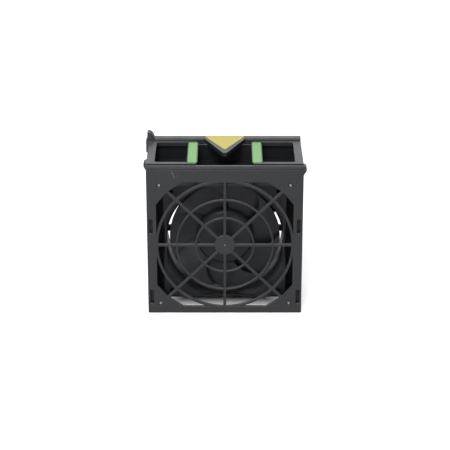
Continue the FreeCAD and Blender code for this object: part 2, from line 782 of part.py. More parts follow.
def latch(label, side, hook_depth):
    """Squeeze latch: a slide plate with a ribbed grip bar, an outer arm and its wall hook."""
    body = new_body(label)

    def across(*formulas):
        return [f"{side} * ({formula})" for formula in formulas]

    plate = top_sketch(body, SLIDE_BOTTOM)
    rectangle(plate, *across("grip_inner + grip_rim", SLIDE_OUTER), GRIP_FRONT, GRIP_BACK)
    pad(body, plate, "slide_thickness")
    hole = top_sketch(body, SLIDE_TOP)
    rectangle(hole, *across(f"{POST_OUTER} - post_thickness - seat_gap",
                            f"{POST_OUTER} + latch_travel + seat_gap"),
              f"{hook_depth} - spring_outer / 2 - seat_gap",
              f"{hook_depth} + spring_outer / 2 + seat_gap")
    pocket(body, hole, "slide_thickness")

    bar = top_sketch(body, f"{SLIDE_TOP} - slide_thickness / 2")
    rectangle(bar, *across("grip_inner + grip_rim", "grip_inner + grip_width - grip_rim"),
              f"{GRIP_FRONT} + grip_rim", f"{GRIP_BACK} - grip_rim")
    pad(body, bar, f"{BEZEL_TOP} - pad_proud - grip_cap - {SLIDE_TOP} + slide_thickness / 2")
    grip_ribs(body, side)
    cap = top_sketch(body, f"{BEZEL_TOP} - pad_proud - grip_cap")
    rectangle(cap, *across("grip_inner", "grip_inner + grip_width"), GRIP_FRONT, GRIP_BACK)
    made = pad(body, cap, "grip_cap")
    rounded(body, made, edges_along(made, UPWARD, lambda spot: spot.z > number(
        f"{BEZEL_TOP} - pad_proud - grip_cap")), "grip_rim * 2")
    seat = top_sketch(body, f"{BEZEL_TOP} - pad_proud")
    rectangle(seat, *across("grip_inner + pad_border", "grip_inner + grip_width - pad_border"),
              f"{GRIP_FRONT} + pad_border", f"{GRIP_BACK} - pad_border")
    pocket(body, seat, "pad_thickness")

    arm = top_sketch(body, SLIDE_BOTTOM)
    rectangle(arm, *across(HOOK_ARM_INNER, SLIDE_OUTER), f"{hook_depth} - hook_width / 2",
              f"{hook_depth} + hook_width / 2")
    pad(body, arm, f"{HOOK_TOP} - {SLIDE_BOTTOM}")
    hook = front_sketch(body, f"{hook_depth} - hook_width / 2")
    toe = f"({HALF} + hook_reach)"
    profile = [(SLIDE_OUTER, HOOK_TOP), (f"{HALF} + hook_reach / 2", HOOK_TOP),
               (toe, f"{HOOK_TOP} - hook_back_slope"),
               (toe, f"{HOOK_TOP} - hook_back_slope - hook_flat"),
               (f"{HALF} - wall / 2", f"{HOOK_TOP} - hook_back_slope - hook_flat - hook_lead"),
               (SLIDE_OUTER, f"{HOOK_TOP} - hook_back_slope - hook_flat - hook_lead")]
    outline(hook, [(f"{side} * ({spot})", height) for spot, height in profile])
    pad(body, hook, "hook_width", back=True)
    boss = side_sketch(body, f"{side} * {HOOK_ARM_INNER}")
    circle(boss, "spring_outer / 2 - spring_wire - seat_gap", hook_depth, SPRING_HEIGHT)
    made = pad(body, boss, "spring_boss")
    made.Reversed = side > 0
    return body


def grip_ribs(body, side):
    """Pockets in the outer flank of the grip bar, which leave a web with upright ribs."""
    cells = int(number("grip_rib_count")) - 1
    flank = side_sketch(body, f"{side} * (grip_inner + grip_width - grip_rim)")
    length = f"({GRIP_BACK} - {GRIP_FRONT} - 2 * grip_rim - grip_wall)"
    for cell in range(cells):
        start = f"({GRIP_FRONT} + grip_rim + grip_wall + {cell} * {length} / {cells})"
        rectangle(flank, start, f"{start} + {length} / {cells} - grip_wall",
                  f"{SLIDE_TOP} + grip_wall", f"{BEZEL_TOP} - pad_proud - grip_cap - grip_wall")
    pocket(body, flank, "grip_width - 2 * grip_rim - grip_wall", other_way=side < 0)


def grip_pad(label, side):
    """Green touch pad seated in the top of a grip bar."""
    body = new_body(label)
    plan = top_sketch(body, f"{BEZEL_TOP} - pad_proud - pad_thickness")
    margin = "(pad_border + close_gap)"
    rectangle(plan, f"{side} * (grip_inner + {margin})", f"{side} * (grip_inner + grip_width - {margin})",
              f"{GRIP_FRONT} + {margin}", f"{GRIP_BACK} - {margin}")
    pad(body, plan, "pad_thickness + pad_proud")
    return body


def helix_points(radius, turns, rise):
    """Corners of a helix about Z, a fixed number to the turn."""
    steps = int(number("spring_steps"))
    count = round(number(turns) * steps)
    spots = []
    for index in range(count + 1):
        angle = 2 * math.pi * index / steps
        across, along = math.cos(angle) * number(radius), math.sin(angle) * number(radius)
        spots.append(VECTOR(across, along, number(rise) * index / count))
    return spots


def coil(label, radius, wire, turns, length):
    """Helical spring along its own Z axis: a six-sided wire swept round a stepped helix."""
    spots = helix_points(radius, turns, f"{length} - {wire}")
    spine = doc.addObject("Part::Feature", f"{label}_spine")
    spine.Shape = Part.makePolygon(spots)
    section = doc.addObject("Part::RegularPolygon", f"{label}_section")
    section.Polygon = 6
    drive(section, Circumradius=f"{wire} / 2")
    section.Placement = FreeCAD.Placement(spots[0], FreeCAD.Rotation(UPWARD, spots[1] - spots[0]))
    sweep = doc.addObject("Part::Sweep", label)
    sweep.Label = label
    sweep.Sections = [section]
    sweep.Spine = (spine, [])
    sweep.Solid = True
    sweep.Frenet = False
    sweep.Transition = "Right corner"
    return sweep


def latch_spring(label, side, hook_depth):
    """Return spring between a deck post and the latch's outer arm."""
    spring = coil(label, "(spring_outer - spring_wire) / 2", "spring_wire", "spring_turns",
                  "(spring_length - 2 * seat_gap)")
    spring.Placement = FreeCAD.Placement(VECTOR(), FreeCAD.Rotation(BACKWARD, 90))
    start = POST_OUTER if side > 0 else f"(-{HOOK_ARM_INNER})"
    place(spring, hook_depth, SPRING_HEIGHT, f"{start} + 2 * seat_gap + spring_wire / 2")
    return spring


def fan_body(label, setback="0"):
    """A body on the fan's axis whose own Y runs back from a setback behind the fan's front."""
    return new_body(label, f"{FAN_FRONT} + {setback}", AXIS_HEIGHT)


def disc_pad(body, depth, length, radius, bore=None, sides=None):
    """A disc, or a ring if it has a bore, from a depth back; round, or many-sided if it says so."""
    profile = front_sketch(body, depth)
    for size in (radius, bore):
        if size and sides:
            polygon(profile, size, sides)
        elif size:
            circle(profile, size)
    return pad(body, profile, length, back=True)


def square(profile, half):
    rectangle(profile, f"-({half})", half, f"-({half})", half)


def fan_frame():
    """Square fan frame: two flanges, the venturi barrel, its rounded inlet and the motor base."""
    body = fan_body("fan_frame")
    for depth in ("0", "fan_depth - flange_thickness"):
        flange = front_sketch(body, depth)
        square(flange, "fan_size / 2")
        made = pad(body, flange, "flange_thickness", back=True)
        corners = edges_along(made, BACKWARD, lambda spot: near(
            spot.y, f"{depth} + flange_thickness / 2") and near(abs(spot.x), "fan_size / 2"))
        rounded(body, made, corners, "fan_corner")
        if depth == "0":
            disc_pad(body, "flange_thickness / 2", "fan_depth - flange_thickness", "fan_size / 2")
    bore = front_sketch(body)
    circle(bore, BORE)
    pocket(body, bore, "fan_depth")
    inlet_bell(body)
    rim = front_sketch(body)
    square(rim, "fan_size / 2 - fan_corner / 4")
    square(rim, BORE)
    pad(body, rim, "flange_thickness", back=True)
    holes = front_sketch(body)
    for side in (1, -1):
        for rise in (1, -1):
            polygon(holes, "screw_hole_radius", "hole_sides",
                    f"{side} * {SCREW_REACH}", f"{rise} * {SCREW_REACH}")
    pocket(body, holes, "fan_depth")
    motor_base(body)
    return body


def inlet_bell(body):
    """Flare at the intake, a quarter round in three conical steps, as a groove round the axis."""
    flare = top_sketch(body)
    inside = f"{BORE} - fan_wall"
    spots = [(inside, "-fan_wall"), (inside, "bell_depth")]
    for angle in (0, 30, 60, 90):
        spots.append((f"{BORE} + bell_depth * (1 - cos({angle}))", f"bell_depth * (1 - sin({angle}))"))
    spots.append((f"{BORE} + bell_depth", "-fan_wall"))
    outline(flare, spots)
    turned(body, "Groove", flare)


def motor_base(body):
    """Disc at the back that carries the motor, its tube boss and the struts to the barrel."""
    disc_pad(body, MOTOR_BASE_FRONT, "motor_base_thickness", "motor_base_radius", TUBE_RADIUS)
    boss = f"({TUBE_RADIUS} + tube_wall)"
    disc_pad(body, f"{MOTOR_BASE_FRONT} - tube_wall", "tube_wall + close_gap", boss, TUBE_RADIUS)
    strut = front_sketch(body, "fan_depth - strut_depth")
    rectangle(strut, "-strut_width / 2", "strut_width / 2", "motor_base_radius - 2 * tube_wall",
              f"{BORE} + fan_wall / 2")
    made = pad(body, strut, "strut_depth", back=True)
    repeat_round(body, made, "strut_count")


def blade_point(share, along):
    """A point of a blade's outline seen along the axis.

    From root to tip the share runs 0 to 1 and along the chord, leading edge first, so does
    along. The leading edge swings by the sweep on its way out to the tip.
    """
    inner = number("hub_radius - hub_wall / 2")
    radius = inner + (number(f"{BORE} - tip_gap") - inner) * share
    wrap = number("blade_root_angle") + number("blade_tip_angle - blade_root_angle") * share
    swing = number("blade_sweep_angle") * (1 - share ** number("blade_sweep_power"))
    angle = math.radians(number("blade_start_angle") + swing - wrap * along)
    return VECTOR(radius * math.cos(angle), 0, radius * math.sin(angle))


def blade_outline():
    """The blade's outline as a prism through the whole fan: four arcs, each by three points."""
    sides = [[blade_point(share, 0) for share in (0, 0.5, 1)],
             [blade_point(1, along) for along in (0, 0.5, 1)],
             [blade_point(share, 1) for share in (1, 0.5, 0)],
             [blade_point(0, along) for along in (1, 0.5, 0)]]
    wire = Part.Wire([Part.Arc(*spots).toShape() for spots in sides])
    return Part.Face(wire).extrude(BACKWARD * number("fan_depth"))


def blade_sheet():
    """Sheet bent round a cylinder whose axis lies along the blade's middle.

    Its middle line, across the blade, falls back at the slope and is hollow towards the outlet.
    """
    middle = blade_point(0.5, 0.5)
    turn = math.atan2(middle.z, middle.x) + math.radians(number("blade_skew_angle"))
    slope = math.radians(number("blade_slope_angle"))
    radius = number("blade_camber_radius") / math.cos(slope) ** 3
    out = VECTOR(math.cos(turn), 0, math.sin(turn))
    across = VECTOR(-math.sin(turn), 0, math.cos(turn))
    centre = across * (radius * math.sin(slope))
    centre += BACKWARD * (number("hub_setback + blade_setback") + radius * math.cos(slope))
    half = number("blade_thickness / 2")
    length = number("fan_size")
    shell = Part.makeCylinder(radius + half, length, centre, out)
    return shell.cut(Part.makeCylinder(radius - half, length, centre, out))


def blade():
    """One blade: the sheet trimmed to the outline."""
    return blade_sheet().common(blade_outline())


def blades():
    """The ring of blades, each rooted inside the hub's wall."""
    count = int(number("blade_count"))
    solid = blade()
    ring = []
    for index in range(count):
        made = doc.addObject("Part::Feature", "impeller_blade")
        made.Shape = solid
        made.Placement = FreeCAD.Placement(VECTOR(), FreeCAD.Rotation(BACKWARD, 360.0 * index / count))
        place(made, FAN_FRONT, AXIS_HEIGHT)
        ring.append(made)
    return ring


def impeller():
    """Moulded impeller: a hub cup with a bevelled rim and swept blades."""
    hub = fan_body("impeller_hub")
    made = disc_pad(hub, "hub_setback", "hub_depth", "hub_radius")
    doc.recompute()
    rim = [f"Edge{index}" for index, edge in enumerate(made.Shape.Edges, start=1)
           if len(edge.Vertexes) == 1 and near(edge.Vertexes[0].Y, "hub_setback")]
    rounded(hub, made, rim, "hub_bevel", "Chamfer")
    hollow = front_sketch(hub, "hub_setback + hub_cap")
    circle(hollow, "hub_radius - hub_wall")
    pocket(hub, hollow, "hub_depth")
    disc_pad(hub, "hub_setback + hub_cap / 2", "hub_boss_depth + hub_cap / 2", "hub_boss_radius")
    bore = front_sketch(hub, "hub_setback + hub_cap / 2")
    circle(bore, "shaft_radius + press_gap")
    pocket(hub, bore, "hub_depth")
    whole = doc.addObject("Part::MultiFuse", "impeller")
    whole.Label = "impeller"
    whole.Shapes = [hub, *blades()]
    return whole


def ring(label, setback, length, radius, bore, sides=None):
    """Plain ring on the fan's axis, as a body of its own."""
    body = fan_body(label)
    disc_pad(body, setback, length, radius, bore, sides)
    return body


def rotor_yoke():
    """Steel cup pressed into the hub, open at the back."""
    body = fan_body("rotor_yoke")
    disc_pad(body, CUP_FRONT, "yoke_depth + yoke_wall", CUP_RADIUS)
    hollow = front_sketch(body, f"{CUP_FRONT} + yoke_wall")
    circle(hollow, f"{CUP_RADIUS} - yoke_wall")
    pocket(body, hollow, "yoke_depth")
    eye = front_sketch(body, CUP_FRONT)
    polygon(eye, "hub_boss_radius + seat_gap", "hole_sides")
    pocket(body, eye, "yoke_wall")
    return body


def rotor_magnet():
    return ring("rotor_magnet", f"{YOKE_BACK} - magnet_depth", "magnet_depth",
                MAGNET_RADIUS, MAGNET_BORE)


def shaft():
    """Ground steel shaft."""
    body = fan_body("shaft")
    disc_pad(body, SHAFT_FRONT, f"{SHAFT_BACK} - {SHAFT_FRONT}", "shaft_radius")
    return body


def shaft_clip():
    """Open push-on ring that grips the shaft behind the rear bearing."""
    body = fan_body("shaft_clip")
    disc_pad(body, f"{CLIP_FRONT} + close_gap", "clip_thickness", "clip_radius",
             "shaft_radius + close_gap", "hole_sides")
    mouth = front_sketch(body)
    rectangle(mouth, "-shaft_radius / 2", "shaft_radius / 2", "0", "2 * clip_radius")
    pocket(body, mouth, "fan_depth")
    return body


def bearing(label, setback):
    """Ball bearing as one closed ring with a running bore."""
    return ring(label, setback, "bearing_width", "bearing_radius - close_gap",
                "shaft_radius + run_gap")


def bearing_tube():
    """Brass tube that holds both bearings, closed round the shaft's end at the motor base."""
    body = fan_body("bearing_tube")
    disc_pad(body, TUBE_FRONT, "tube_length", f"{TUBE_RADIUS} - close_gap")
    bore = front_sketch(body, TUBE_FRONT)
    circle(bore, "bearing_radius")
    pocket(body, bore, "tube_length - tube_cap")
    return body


def toothed(body, setback, length, ring_width):
    """A many-sided ring round the bearing tube with T-shaped teeth, from a setback back."""
    disc_pad(body, setback, length, f"{CORE_BORE} + {ring_width}", CORE_BORE, "hole_sides")
    tooth = front_sketch(body, setback)
    shoe = f"({CORE_RADIUS} - 2 * tooth_tip)"
    half = "(tooth_width / 2)"
    tip = "(tooth_tip_width / 2)"
    side = f"sqrt({CORE_RADIUS} ^ 2 - {tip} ^ 2)"
    root = f"({CORE_BORE} + {ring_width} / 2)"
    right = [(half, root), (half, shoe), (tip, f"{shoe} - tooth_tip / 2"), (tip, side)]
    left = [(f"-{across}", height) for across, height in reversed(right)]
    outline(tooth, right + [("0", CORE_RADIUS)] + left)
    made = pad(body, tooth, length, back=True)
    repeat_round(body, made, "tooth_count")


def stator_core():
    """Laminated steel core."""
    body = fan_body("stator_core")
    toothed(body, CORE_FRONT, "core_depth", "core_ring")
    return body


def stator_insulator():
    """Two nylon end plates on the core, one at each end."""
    body = fan_body("stator_insulator")
    body.AllowCompound = True
    for setback in (f"{CORE_FRONT} - close_gap - insulator_thickness", f"{CORE_BACK} + close_gap"):
        toothed(body, setback, "insulator_thickness", "core_ring")
    return body


def stator_windings():
    """A coil round each tooth, over the end plates."""
    body = fan_body("stator_windings")
    body.AllowCompound = True
    turn = top_sketch(body, f"{CORE_BORE} + core_ring + winding_build / 2")
    room = "(insulator_thickness + 2 * close_gap)"
    for build in ("winding_build", "0"):
        rectangle(turn, f"-tooth_width / 2 - close_gap - {build}", f"tooth_width / 2 + close_gap + {build}",
                  f"{CORE_FRONT} - {room} - {build} / 2", f"{CORE_BACK} + {room} + {build} / 2")
    made = pad(body, turn, f"{CORE_RADIUS} - 3 * tooth_tip - {CORE_BORE} - core_ring - winding_build / 2")
    repeat_round(body, made, "tooth_count")
    return body


def circuit_board():
    """Many-sided driver board on the motor base's boss, behind the coils."""
    return ring("circuit_board", BOARD_FRONT, "board_thickness", "board_radius",
                f"{TUBE_RADIUS} + close_gap", "board_sides")


def board_parts():
    """Driver chip, Hall sensor and small parts on the back of the board."""
    body = fan_body("board_parts")
    body.AllowCompound = True
    plan = front_sketch(body, f"{BOARD_FRONT} + board_thickness + close_gap")
    reach = f"(({TUBE_RADIUS} + tube_wall + board_radius) / 2)"
    for half_width, half_height, across, rise in (
            ("chip_length / 2", "chip_width / 2", reach, "0"),
            ("sensor_length / 2", "sensor_width / 2", f"-{reach}", "0"),
            ("capacitor_width / 2", "capacitor_width / 2", "0", reach),
            ("sensor_width / 2", "sensor_length / 2", "0", f"-{reach}")):
        rectangle(plan, f"{across} - {half_width}", f"{across} + {half_width}",
                  f"{rise} - {half_height}", f"{rise} + {half_height}")
    pad(body, plan, "board_part_rise", back=True)
    return body


def preload_spring():
    """Light coil between the hub's boss and the front bearing, which turns with the hub."""
    length = f"({FRONT_BEARING} - {BOSS_BACK} - 2 * close_gap)"
    spring = coil("preload_spring", "(shaft_radius + bearing_radius) / 2 - close_gap",
                  "preload_wire", "preload_turns", length)
    spring.Placement = FreeCAD.Placement(VECTOR(), FreeCAD.Rotation(ACROSS, -90))
    place(spring, f"{FAN_FRONT} + {BOSS_BACK} + close_gap + preload_wire / 2", AXIS_HEIGHT)
    return spring


def fan_mounts():
    """Four square rubber pull-through pins that hang the fan's rear flange on the partition."""
    body = fan_body("fan_mounts")
    body.AllowCompound = True
    flange = "(fan_depth - flange_thickness - close_gap)"
    behind = "(fan_depth + seat_gap + partition_thickness + close_gap)"
    stages = ((f"{flange} - mount_head", "mount_head", "mount_head_half"),
              (f"{flange} - mount_head / 2", f"{behind} - {flange} + mount_head", "mount_neck_half"),
              (behind, "mount_barb_length", "mount_barb_half"))
    for setback, length, half in stages:
        plan = front_sketch(body, setback)
        for side in (1, -1):
            for rise in (1, -1):
                across, height = f"{side} * {SCREW_REACH}", f"{rise} * {SCREW_REACH}"
                rectangle(plan, f"{across} - {half}", f"{across} + {half}",
                          f"{height} - {half}", f"{height} + {half}")
        pad(body, plan, length, back=True)
    return body


def connector_body():
    """Blind-mate connector shell in the floor; its mouth faces down."""
    body = new_body("connector_body", CONNECTOR_DEPTH)
    shell = top_sketch(body, "connector_clear")
    half_width, half_length = "(connector_width / 2)", "(connector_length / 2)"
    rectangle(shell, f"-{half_width}", half_width, f"-{half_length}", half_length)
    pad(body, shell, "connector_height")
    flange = top_sketch(body, "floor_thickness + close_gap")
    rectangle(flange, f"-{half_width} - connector_flange", f"{half_width} + connector_flange",
              f"-{half_length} - connector_flange", f"{half_length} + connector_flange")
    pad(body, flange, "connector_flange_thickness")
    mouth = top_sketch(body, "connector_clear")
    rectangle(mouth, f"connector_wall - {half_width}", f"{half_width} - connector_wall",
              f"connector_wall - {half_length}", f"{half_length} - connector_wall")
    pocket(body, mouth, "connector_mouth_depth", other_way=True)
    slits = top_sketch(body, "connector_clear")
    for contact in range(int(number("contact_count"))):
        contact_outline(slits, contact, "close_gap")
    pocket(body, slits, "connector_height", other_way=True)
    return body


def contact_outline(profile, index, margin):
    """Plan of one contact blade in its place along the connector."""
    middle = f"(({index} - (contact_count - 1) / 2) * contact_pitch)"
    half_width, half_length = f"(contact_width / 2 + {margin})", f"(contact_length / 2 + {margin})"
    rectangle(profile, f"{middle} - {half_width}", f"{middle} + {half_width}",
              f"-{half_length}", half_length)


def connector_contacts():
    """Row of contact blades that pass through the roof of the connector."""
    body = new_body("connector_contacts", CONNECTOR_DEPTH)
    body.AllowCompound = True
    blades_plan = top_sketch(body, "connector_clear + connector_wall")
    for contact in range(int(number("contact_count"))):
        contact_outline(blades_plan, contact, "0")
    pad(body, blades_plan, "connector_height")
    return body


def build():
    """Every sub-part, outside first."""
    return [
        front_cover(), housing(), top_frame(), tab_inlay(),
        latch("latch_right", 1, "right_hook_depth"), latch("latch_left", -1, "left_hook_depth"),
        grip_pad("grip_pad_right", 1), grip_pad("grip_pad_left", -1),
        latch_spring("latch_spring_right", 1, "right_hook_depth"),
        latch_spring("latch_spring_left", -1, "left_hook_depth"),
        fan_frame(), impeller(), rotor_yoke(), rotor_magnet(), shaft(), shaft_clip(), preload_spring(),
        bearing("front_bearing", FRONT_BEARING), bearing("rear_bearing", REAR_BEARING),
        bearing_tube(), stator_core(), stator_insulator(), stator_windings(),
        circuit_board(), board_parts(), fan_mounts(), connector_body(), connector_contacts(),
    ]


def check(parts):
    """Stop if an object failed, a cut cut nothing or a sub-part isn't a sound solid."""
    doc.recompute()
    for item in doc.Objects:
        if "Invalid" in item.State or "Error" in item.State:
            raise RuntimeError(f"{item.Label} failed: {item.State}")
        if item.TypeId in ("PartDesign::Pocket", "PartDesign::Groove"):
            before = item.BaseFeature.Shape.Volume
            if item.Shape.Volume > before - 0.001:
                raise RuntimeError(f"{item.Label} cuts nothing")
    for part in parts:
        if part.Shape.isNull() or not part.Shape.isValid() or not part.Shape.Solids:
            raise RuntimeError(f"{part.Label} has no sound solid")


def main():
    fill_sheet()
    parts = build()
    check(parts)
    os.makedirs("parts", exist_ok=True)
    for part in parts:
        part.Shape.exportStep(f"parts/{part.Label}.step")
        print(part.Label, len(part.Shape.Solids), "solid(s)", round(part.Shape.Volume), "mm3")


main()
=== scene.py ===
# %% [markdown]
# # A server fan module, dressed for its picture
#
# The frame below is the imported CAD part: every moving and fixed piece is already there, at its
# true size, as one mesh per node. This lesson adds what CAD leaves out: softened moulding edges,
# finishes, wound wire and light. Each cell prints what it made, so it can be run step by step.

import json
import math

import bmesh
import bpy
import numpy as np
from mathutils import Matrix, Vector


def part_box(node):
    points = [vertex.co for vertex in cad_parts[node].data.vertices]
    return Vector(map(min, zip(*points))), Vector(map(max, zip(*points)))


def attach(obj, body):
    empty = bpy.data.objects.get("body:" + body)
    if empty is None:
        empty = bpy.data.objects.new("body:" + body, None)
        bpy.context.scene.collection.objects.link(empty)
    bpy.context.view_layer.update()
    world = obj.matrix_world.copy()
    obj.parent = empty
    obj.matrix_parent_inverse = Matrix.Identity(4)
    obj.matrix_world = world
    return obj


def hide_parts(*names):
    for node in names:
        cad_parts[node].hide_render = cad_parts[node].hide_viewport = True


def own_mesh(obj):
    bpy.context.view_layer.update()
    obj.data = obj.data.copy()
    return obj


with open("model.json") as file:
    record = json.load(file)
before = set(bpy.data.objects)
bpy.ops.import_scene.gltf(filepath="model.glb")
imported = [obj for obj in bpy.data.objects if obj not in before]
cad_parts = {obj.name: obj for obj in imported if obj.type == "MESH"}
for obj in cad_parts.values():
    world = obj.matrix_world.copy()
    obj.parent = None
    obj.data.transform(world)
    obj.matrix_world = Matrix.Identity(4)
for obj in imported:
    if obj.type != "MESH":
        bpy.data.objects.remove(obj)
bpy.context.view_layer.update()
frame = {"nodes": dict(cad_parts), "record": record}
MM = 0.001
record = frame["record"]
body_of_node = {node: body for body, nodes in record["behaviour"]["bodies"].items()
                for node in nodes}
slot_of_node = {row["node"]: row["material_slot"] for row in record["subparts"]}

# %% [markdown]
# ## Colours and nodes
#
# Colours are written as the sRGB hex values that a colour picker shows. Blender's shaders work
# in linear light, so one function turns a hex value into linear numbers. A second small
# function adds a node, fills in its sockets and links it, whatever kind of node it is.

# %% Two helpers


def linear(hex_value):
    """sRGB to linear: c / 12.92 in the dark, ((c + 0.055) / 1.055) ** 2.4 above."""
    channels = np.array([int(hex_value[i:i + 2], 16) / 255 for i in (1, 3, 5)])
    toe = channels / 12.92
    curve = ((channels + 0.055) / 1.055) ** 2.4
    return (*np.where(channels <= 0.04045, toe, curve).tolist(), 1.0)


def add_node(tree, kind, settings=None, **inputs):
    """Add a node. An input is a value, or another node's output socket to link from.

    Inputs are given by name, with _ for a space, or as in0, in1 ... by number.
    """
    node = tree.nodes.new(kind)
    for name, value in (settings or {}).items():
        setattr(node, name, value)
    for name, value in inputs.items():
        numbered = name.startswith("in") and name[2:].isdigit()
        socket = node.inputs[int(name[2:]) if numbered else name.replace("_", " ")]
        if isinstance(value, bpy.types.NodeSocket):
            tree.links.new(value, socket)
        else:
            socket.default_value = value
    return node


print("charcoal is", [round(c, 3) for c in linear("#404145")])

# %% [markdown]
# ## Moulded and metal finishes
#
# A moulded charcoal shell isn't one flat colour. Spark erosion leaves the tool, and so the
# plastic, with a fine grain, and handling leaves faint cloudy marks. Both come from noise read
# in Object coordinates, whose scale is worked out from a size in millimetres, so they keep
# their real size on every piece. The grain drives a bump, and the clouds drive the colour and
# the roughness a little. Two things come on top: scratches, where a piece has had some use, and a
# paler film on what faces up, which is both a dusting and painted top light.

# %% One recipe for moulded surfaces
GRAIN_MM, CLOUD_MM, BUMP_MM = 0.35, 18.0, 0.02
CLOUD_LOW, CLOUD_HIGH = 0.3, 0.7
# the paler film on up-facing faces, a dusting and painted top light: none below the first upward
# part of the normal, all of it above the second, and its tone
DUST_AND_TOPLIGHT_NONE, DUST_AND_TOPLIGHT_ALL = 0.1, 0.95
DUST_AND_TOPLIGHT_TONE, SCRATCH_TONE = "#8d8e92", "#9a9a9c"


def per_mm(size_mm):
    """Noise scale whose features are about size_mm across in Object coordinates (metres)."""
    return 1.0 / (size_mm * MM)


def scratch_mask(tree, place, first, last, width_mm, depth):
    """How deep a scratch is at a point of the front face, from 0 to depth.

    With P the point, A and B the ends in (x, z) millimetres and n the unit normal of AB, the
    distance from the line is |(P - A) . n|, and the share along it is (P - A) . AB / |AB| ** 2.
    The mask falls to 0 at half the width and at both ends, and noise breaks it up.
    """
    first, last = np.array(first) * MM, np.array(last) * MM
    along = (last - first) / np.linalg.norm(last - first) ** 2
    normal = np.array([along[1], -along[0]]) / np.linalg.norm(along)
    fades = ((normal, np.dot(normal, first), width_mm * MM / 2, 0.0),
             (along, np.dot(along, first) + 0.5, 0.5, 0.1))
    result = depth
    for direction, middle, none_at, all_at in fades:
        dot = add_node(tree, "ShaderNodeVectorMath", {"operation": "DOT_PRODUCT"}, in0=place,
                       in1=(direction[0], 0.0, direction[1])).outputs["Value"]
        offset = add_node(tree, "ShaderNodeMath", {"operation": "SUBTRACT"}, in0=dot,
                          in1=float(middle))
        far = add_node(tree, "ShaderNodeMath", {"operation": "ABSOLUTE"}, in0=offset.outputs[0])
        share = add_node(tree, "ShaderNodeMapRange", Value=far.outputs[0], From_Min=none_at,
                         From_Max=all_at)
        result = add_node(tree, "ShaderNodeMath", {"operation": "MULTIPLY"}, in0=result,
                          in1=share.outputs[0]).outputs[0]
    broken = add_node(tree, "ShaderNodeTexNoise", Vector=place, Scale=per_mm(1.2)).outputs["Fac"]
    patchy = add_node(tree, "ShaderNodeMapRange", Value=broken, From_Min=0.35, From_Max=0.55,
                      To_Min=0.25)
    return add_node(tree, "ShaderNodeMath", {"operation": "MULTIPLY"}, in0=result,
                    in1=patchy.outputs[0]).outputs[0]


def moulded(name, dark, light, rough, bump=0.15, cloud_mm=CLOUD_MM, metallic=0.0, ior=1.5,
            scratches=(), dust=0.0):
    """A surface of two close tones in soft clouds, with a fine grain in its bump.

    A paler film, a dusting and painted top light, grows with the upward part of the face's normal.
    """
    material = bpy.data.materials.new(name)
    material.use_nodes = True
    tree = material.node_tree
    tree.nodes.clear()
    place = add_node(tree, "ShaderNodeTexCoord").outputs["Object"]
    clouds = add_node(tree, "ShaderNodeTexNoise", Vector=place, Scale=per_mm(cloud_mm),
                      Detail=3.0, Roughness=0.55).outputs["Fac"]
    grain = add_node(tree, "ShaderNodeTexNoise", Vector=place, Scale=per_mm(GRAIN_MM),
                     Detail=2.0, Roughness=0.6).outputs["Fac"]
    tone = add_node(tree, "ShaderNodeMapRange", Value=clouds, From_Min=CLOUD_LOW,
                    From_Max=CLOUD_HIGH)
    colour = add_node(tree, "ShaderNodeMix", {"data_type": "RGBA"}, in0=tone.outputs["Result"],
                      in6=linear(dark), in7=linear(light)).outputs[2]
    if dust:
        # paler the more the face points up: a dusting, and painted top light
        facing = add_node(tree, "ShaderNodeNewGeometry").outputs["Normal"]
        upward = add_node(tree, "ShaderNodeSeparateXYZ", Vector=facing).outputs["Z"]
        film = add_node(tree, "ShaderNodeMapRange", Value=upward, From_Min=DUST_AND_TOPLIGHT_NONE,
                        From_Max=DUST_AND_TOPLIGHT_ALL, To_Max=dust)
        colour = add_node(tree, "ShaderNodeMix", {"data_type": "RGBA"}, in0=film.outputs[0],
                          in6=colour, in7=linear(DUST_AND_TOPLIGHT_TONE)).outputs[2]
    for scratch in scratches:
        colour = add_node(tree, "ShaderNodeMix", {"data_type": "RGBA"}, in6=colour,
                          in0=scratch_mask(tree, place, *scratch),
                          in7=linear(SCRATCH_TONE)).outputs[2]
    sheen = add_node(tree, "ShaderNodeMapRange", Value=clouds, From_Min=CLOUD_LOW,
                     From_Max=CLOUD_HIGH, To_Min=rough[0], To_Max=rough[1])
    height = add_node(tree, "ShaderNodeBump", Strength=bump, Distance=BUMP_MM * MM, Height=grain)
    shader = add_node(tree, "ShaderNodeBsdfPrincipled", Base_Color=colour,
                      Roughness=sheen.outputs["Result"], Metallic=metallic, IOR=ior,
                      Normal=height.outputs["Normal"])
    add_node(tree, "ShaderNodeOutputMaterial", Surface=shader.outputs["BSDF"])
    return material


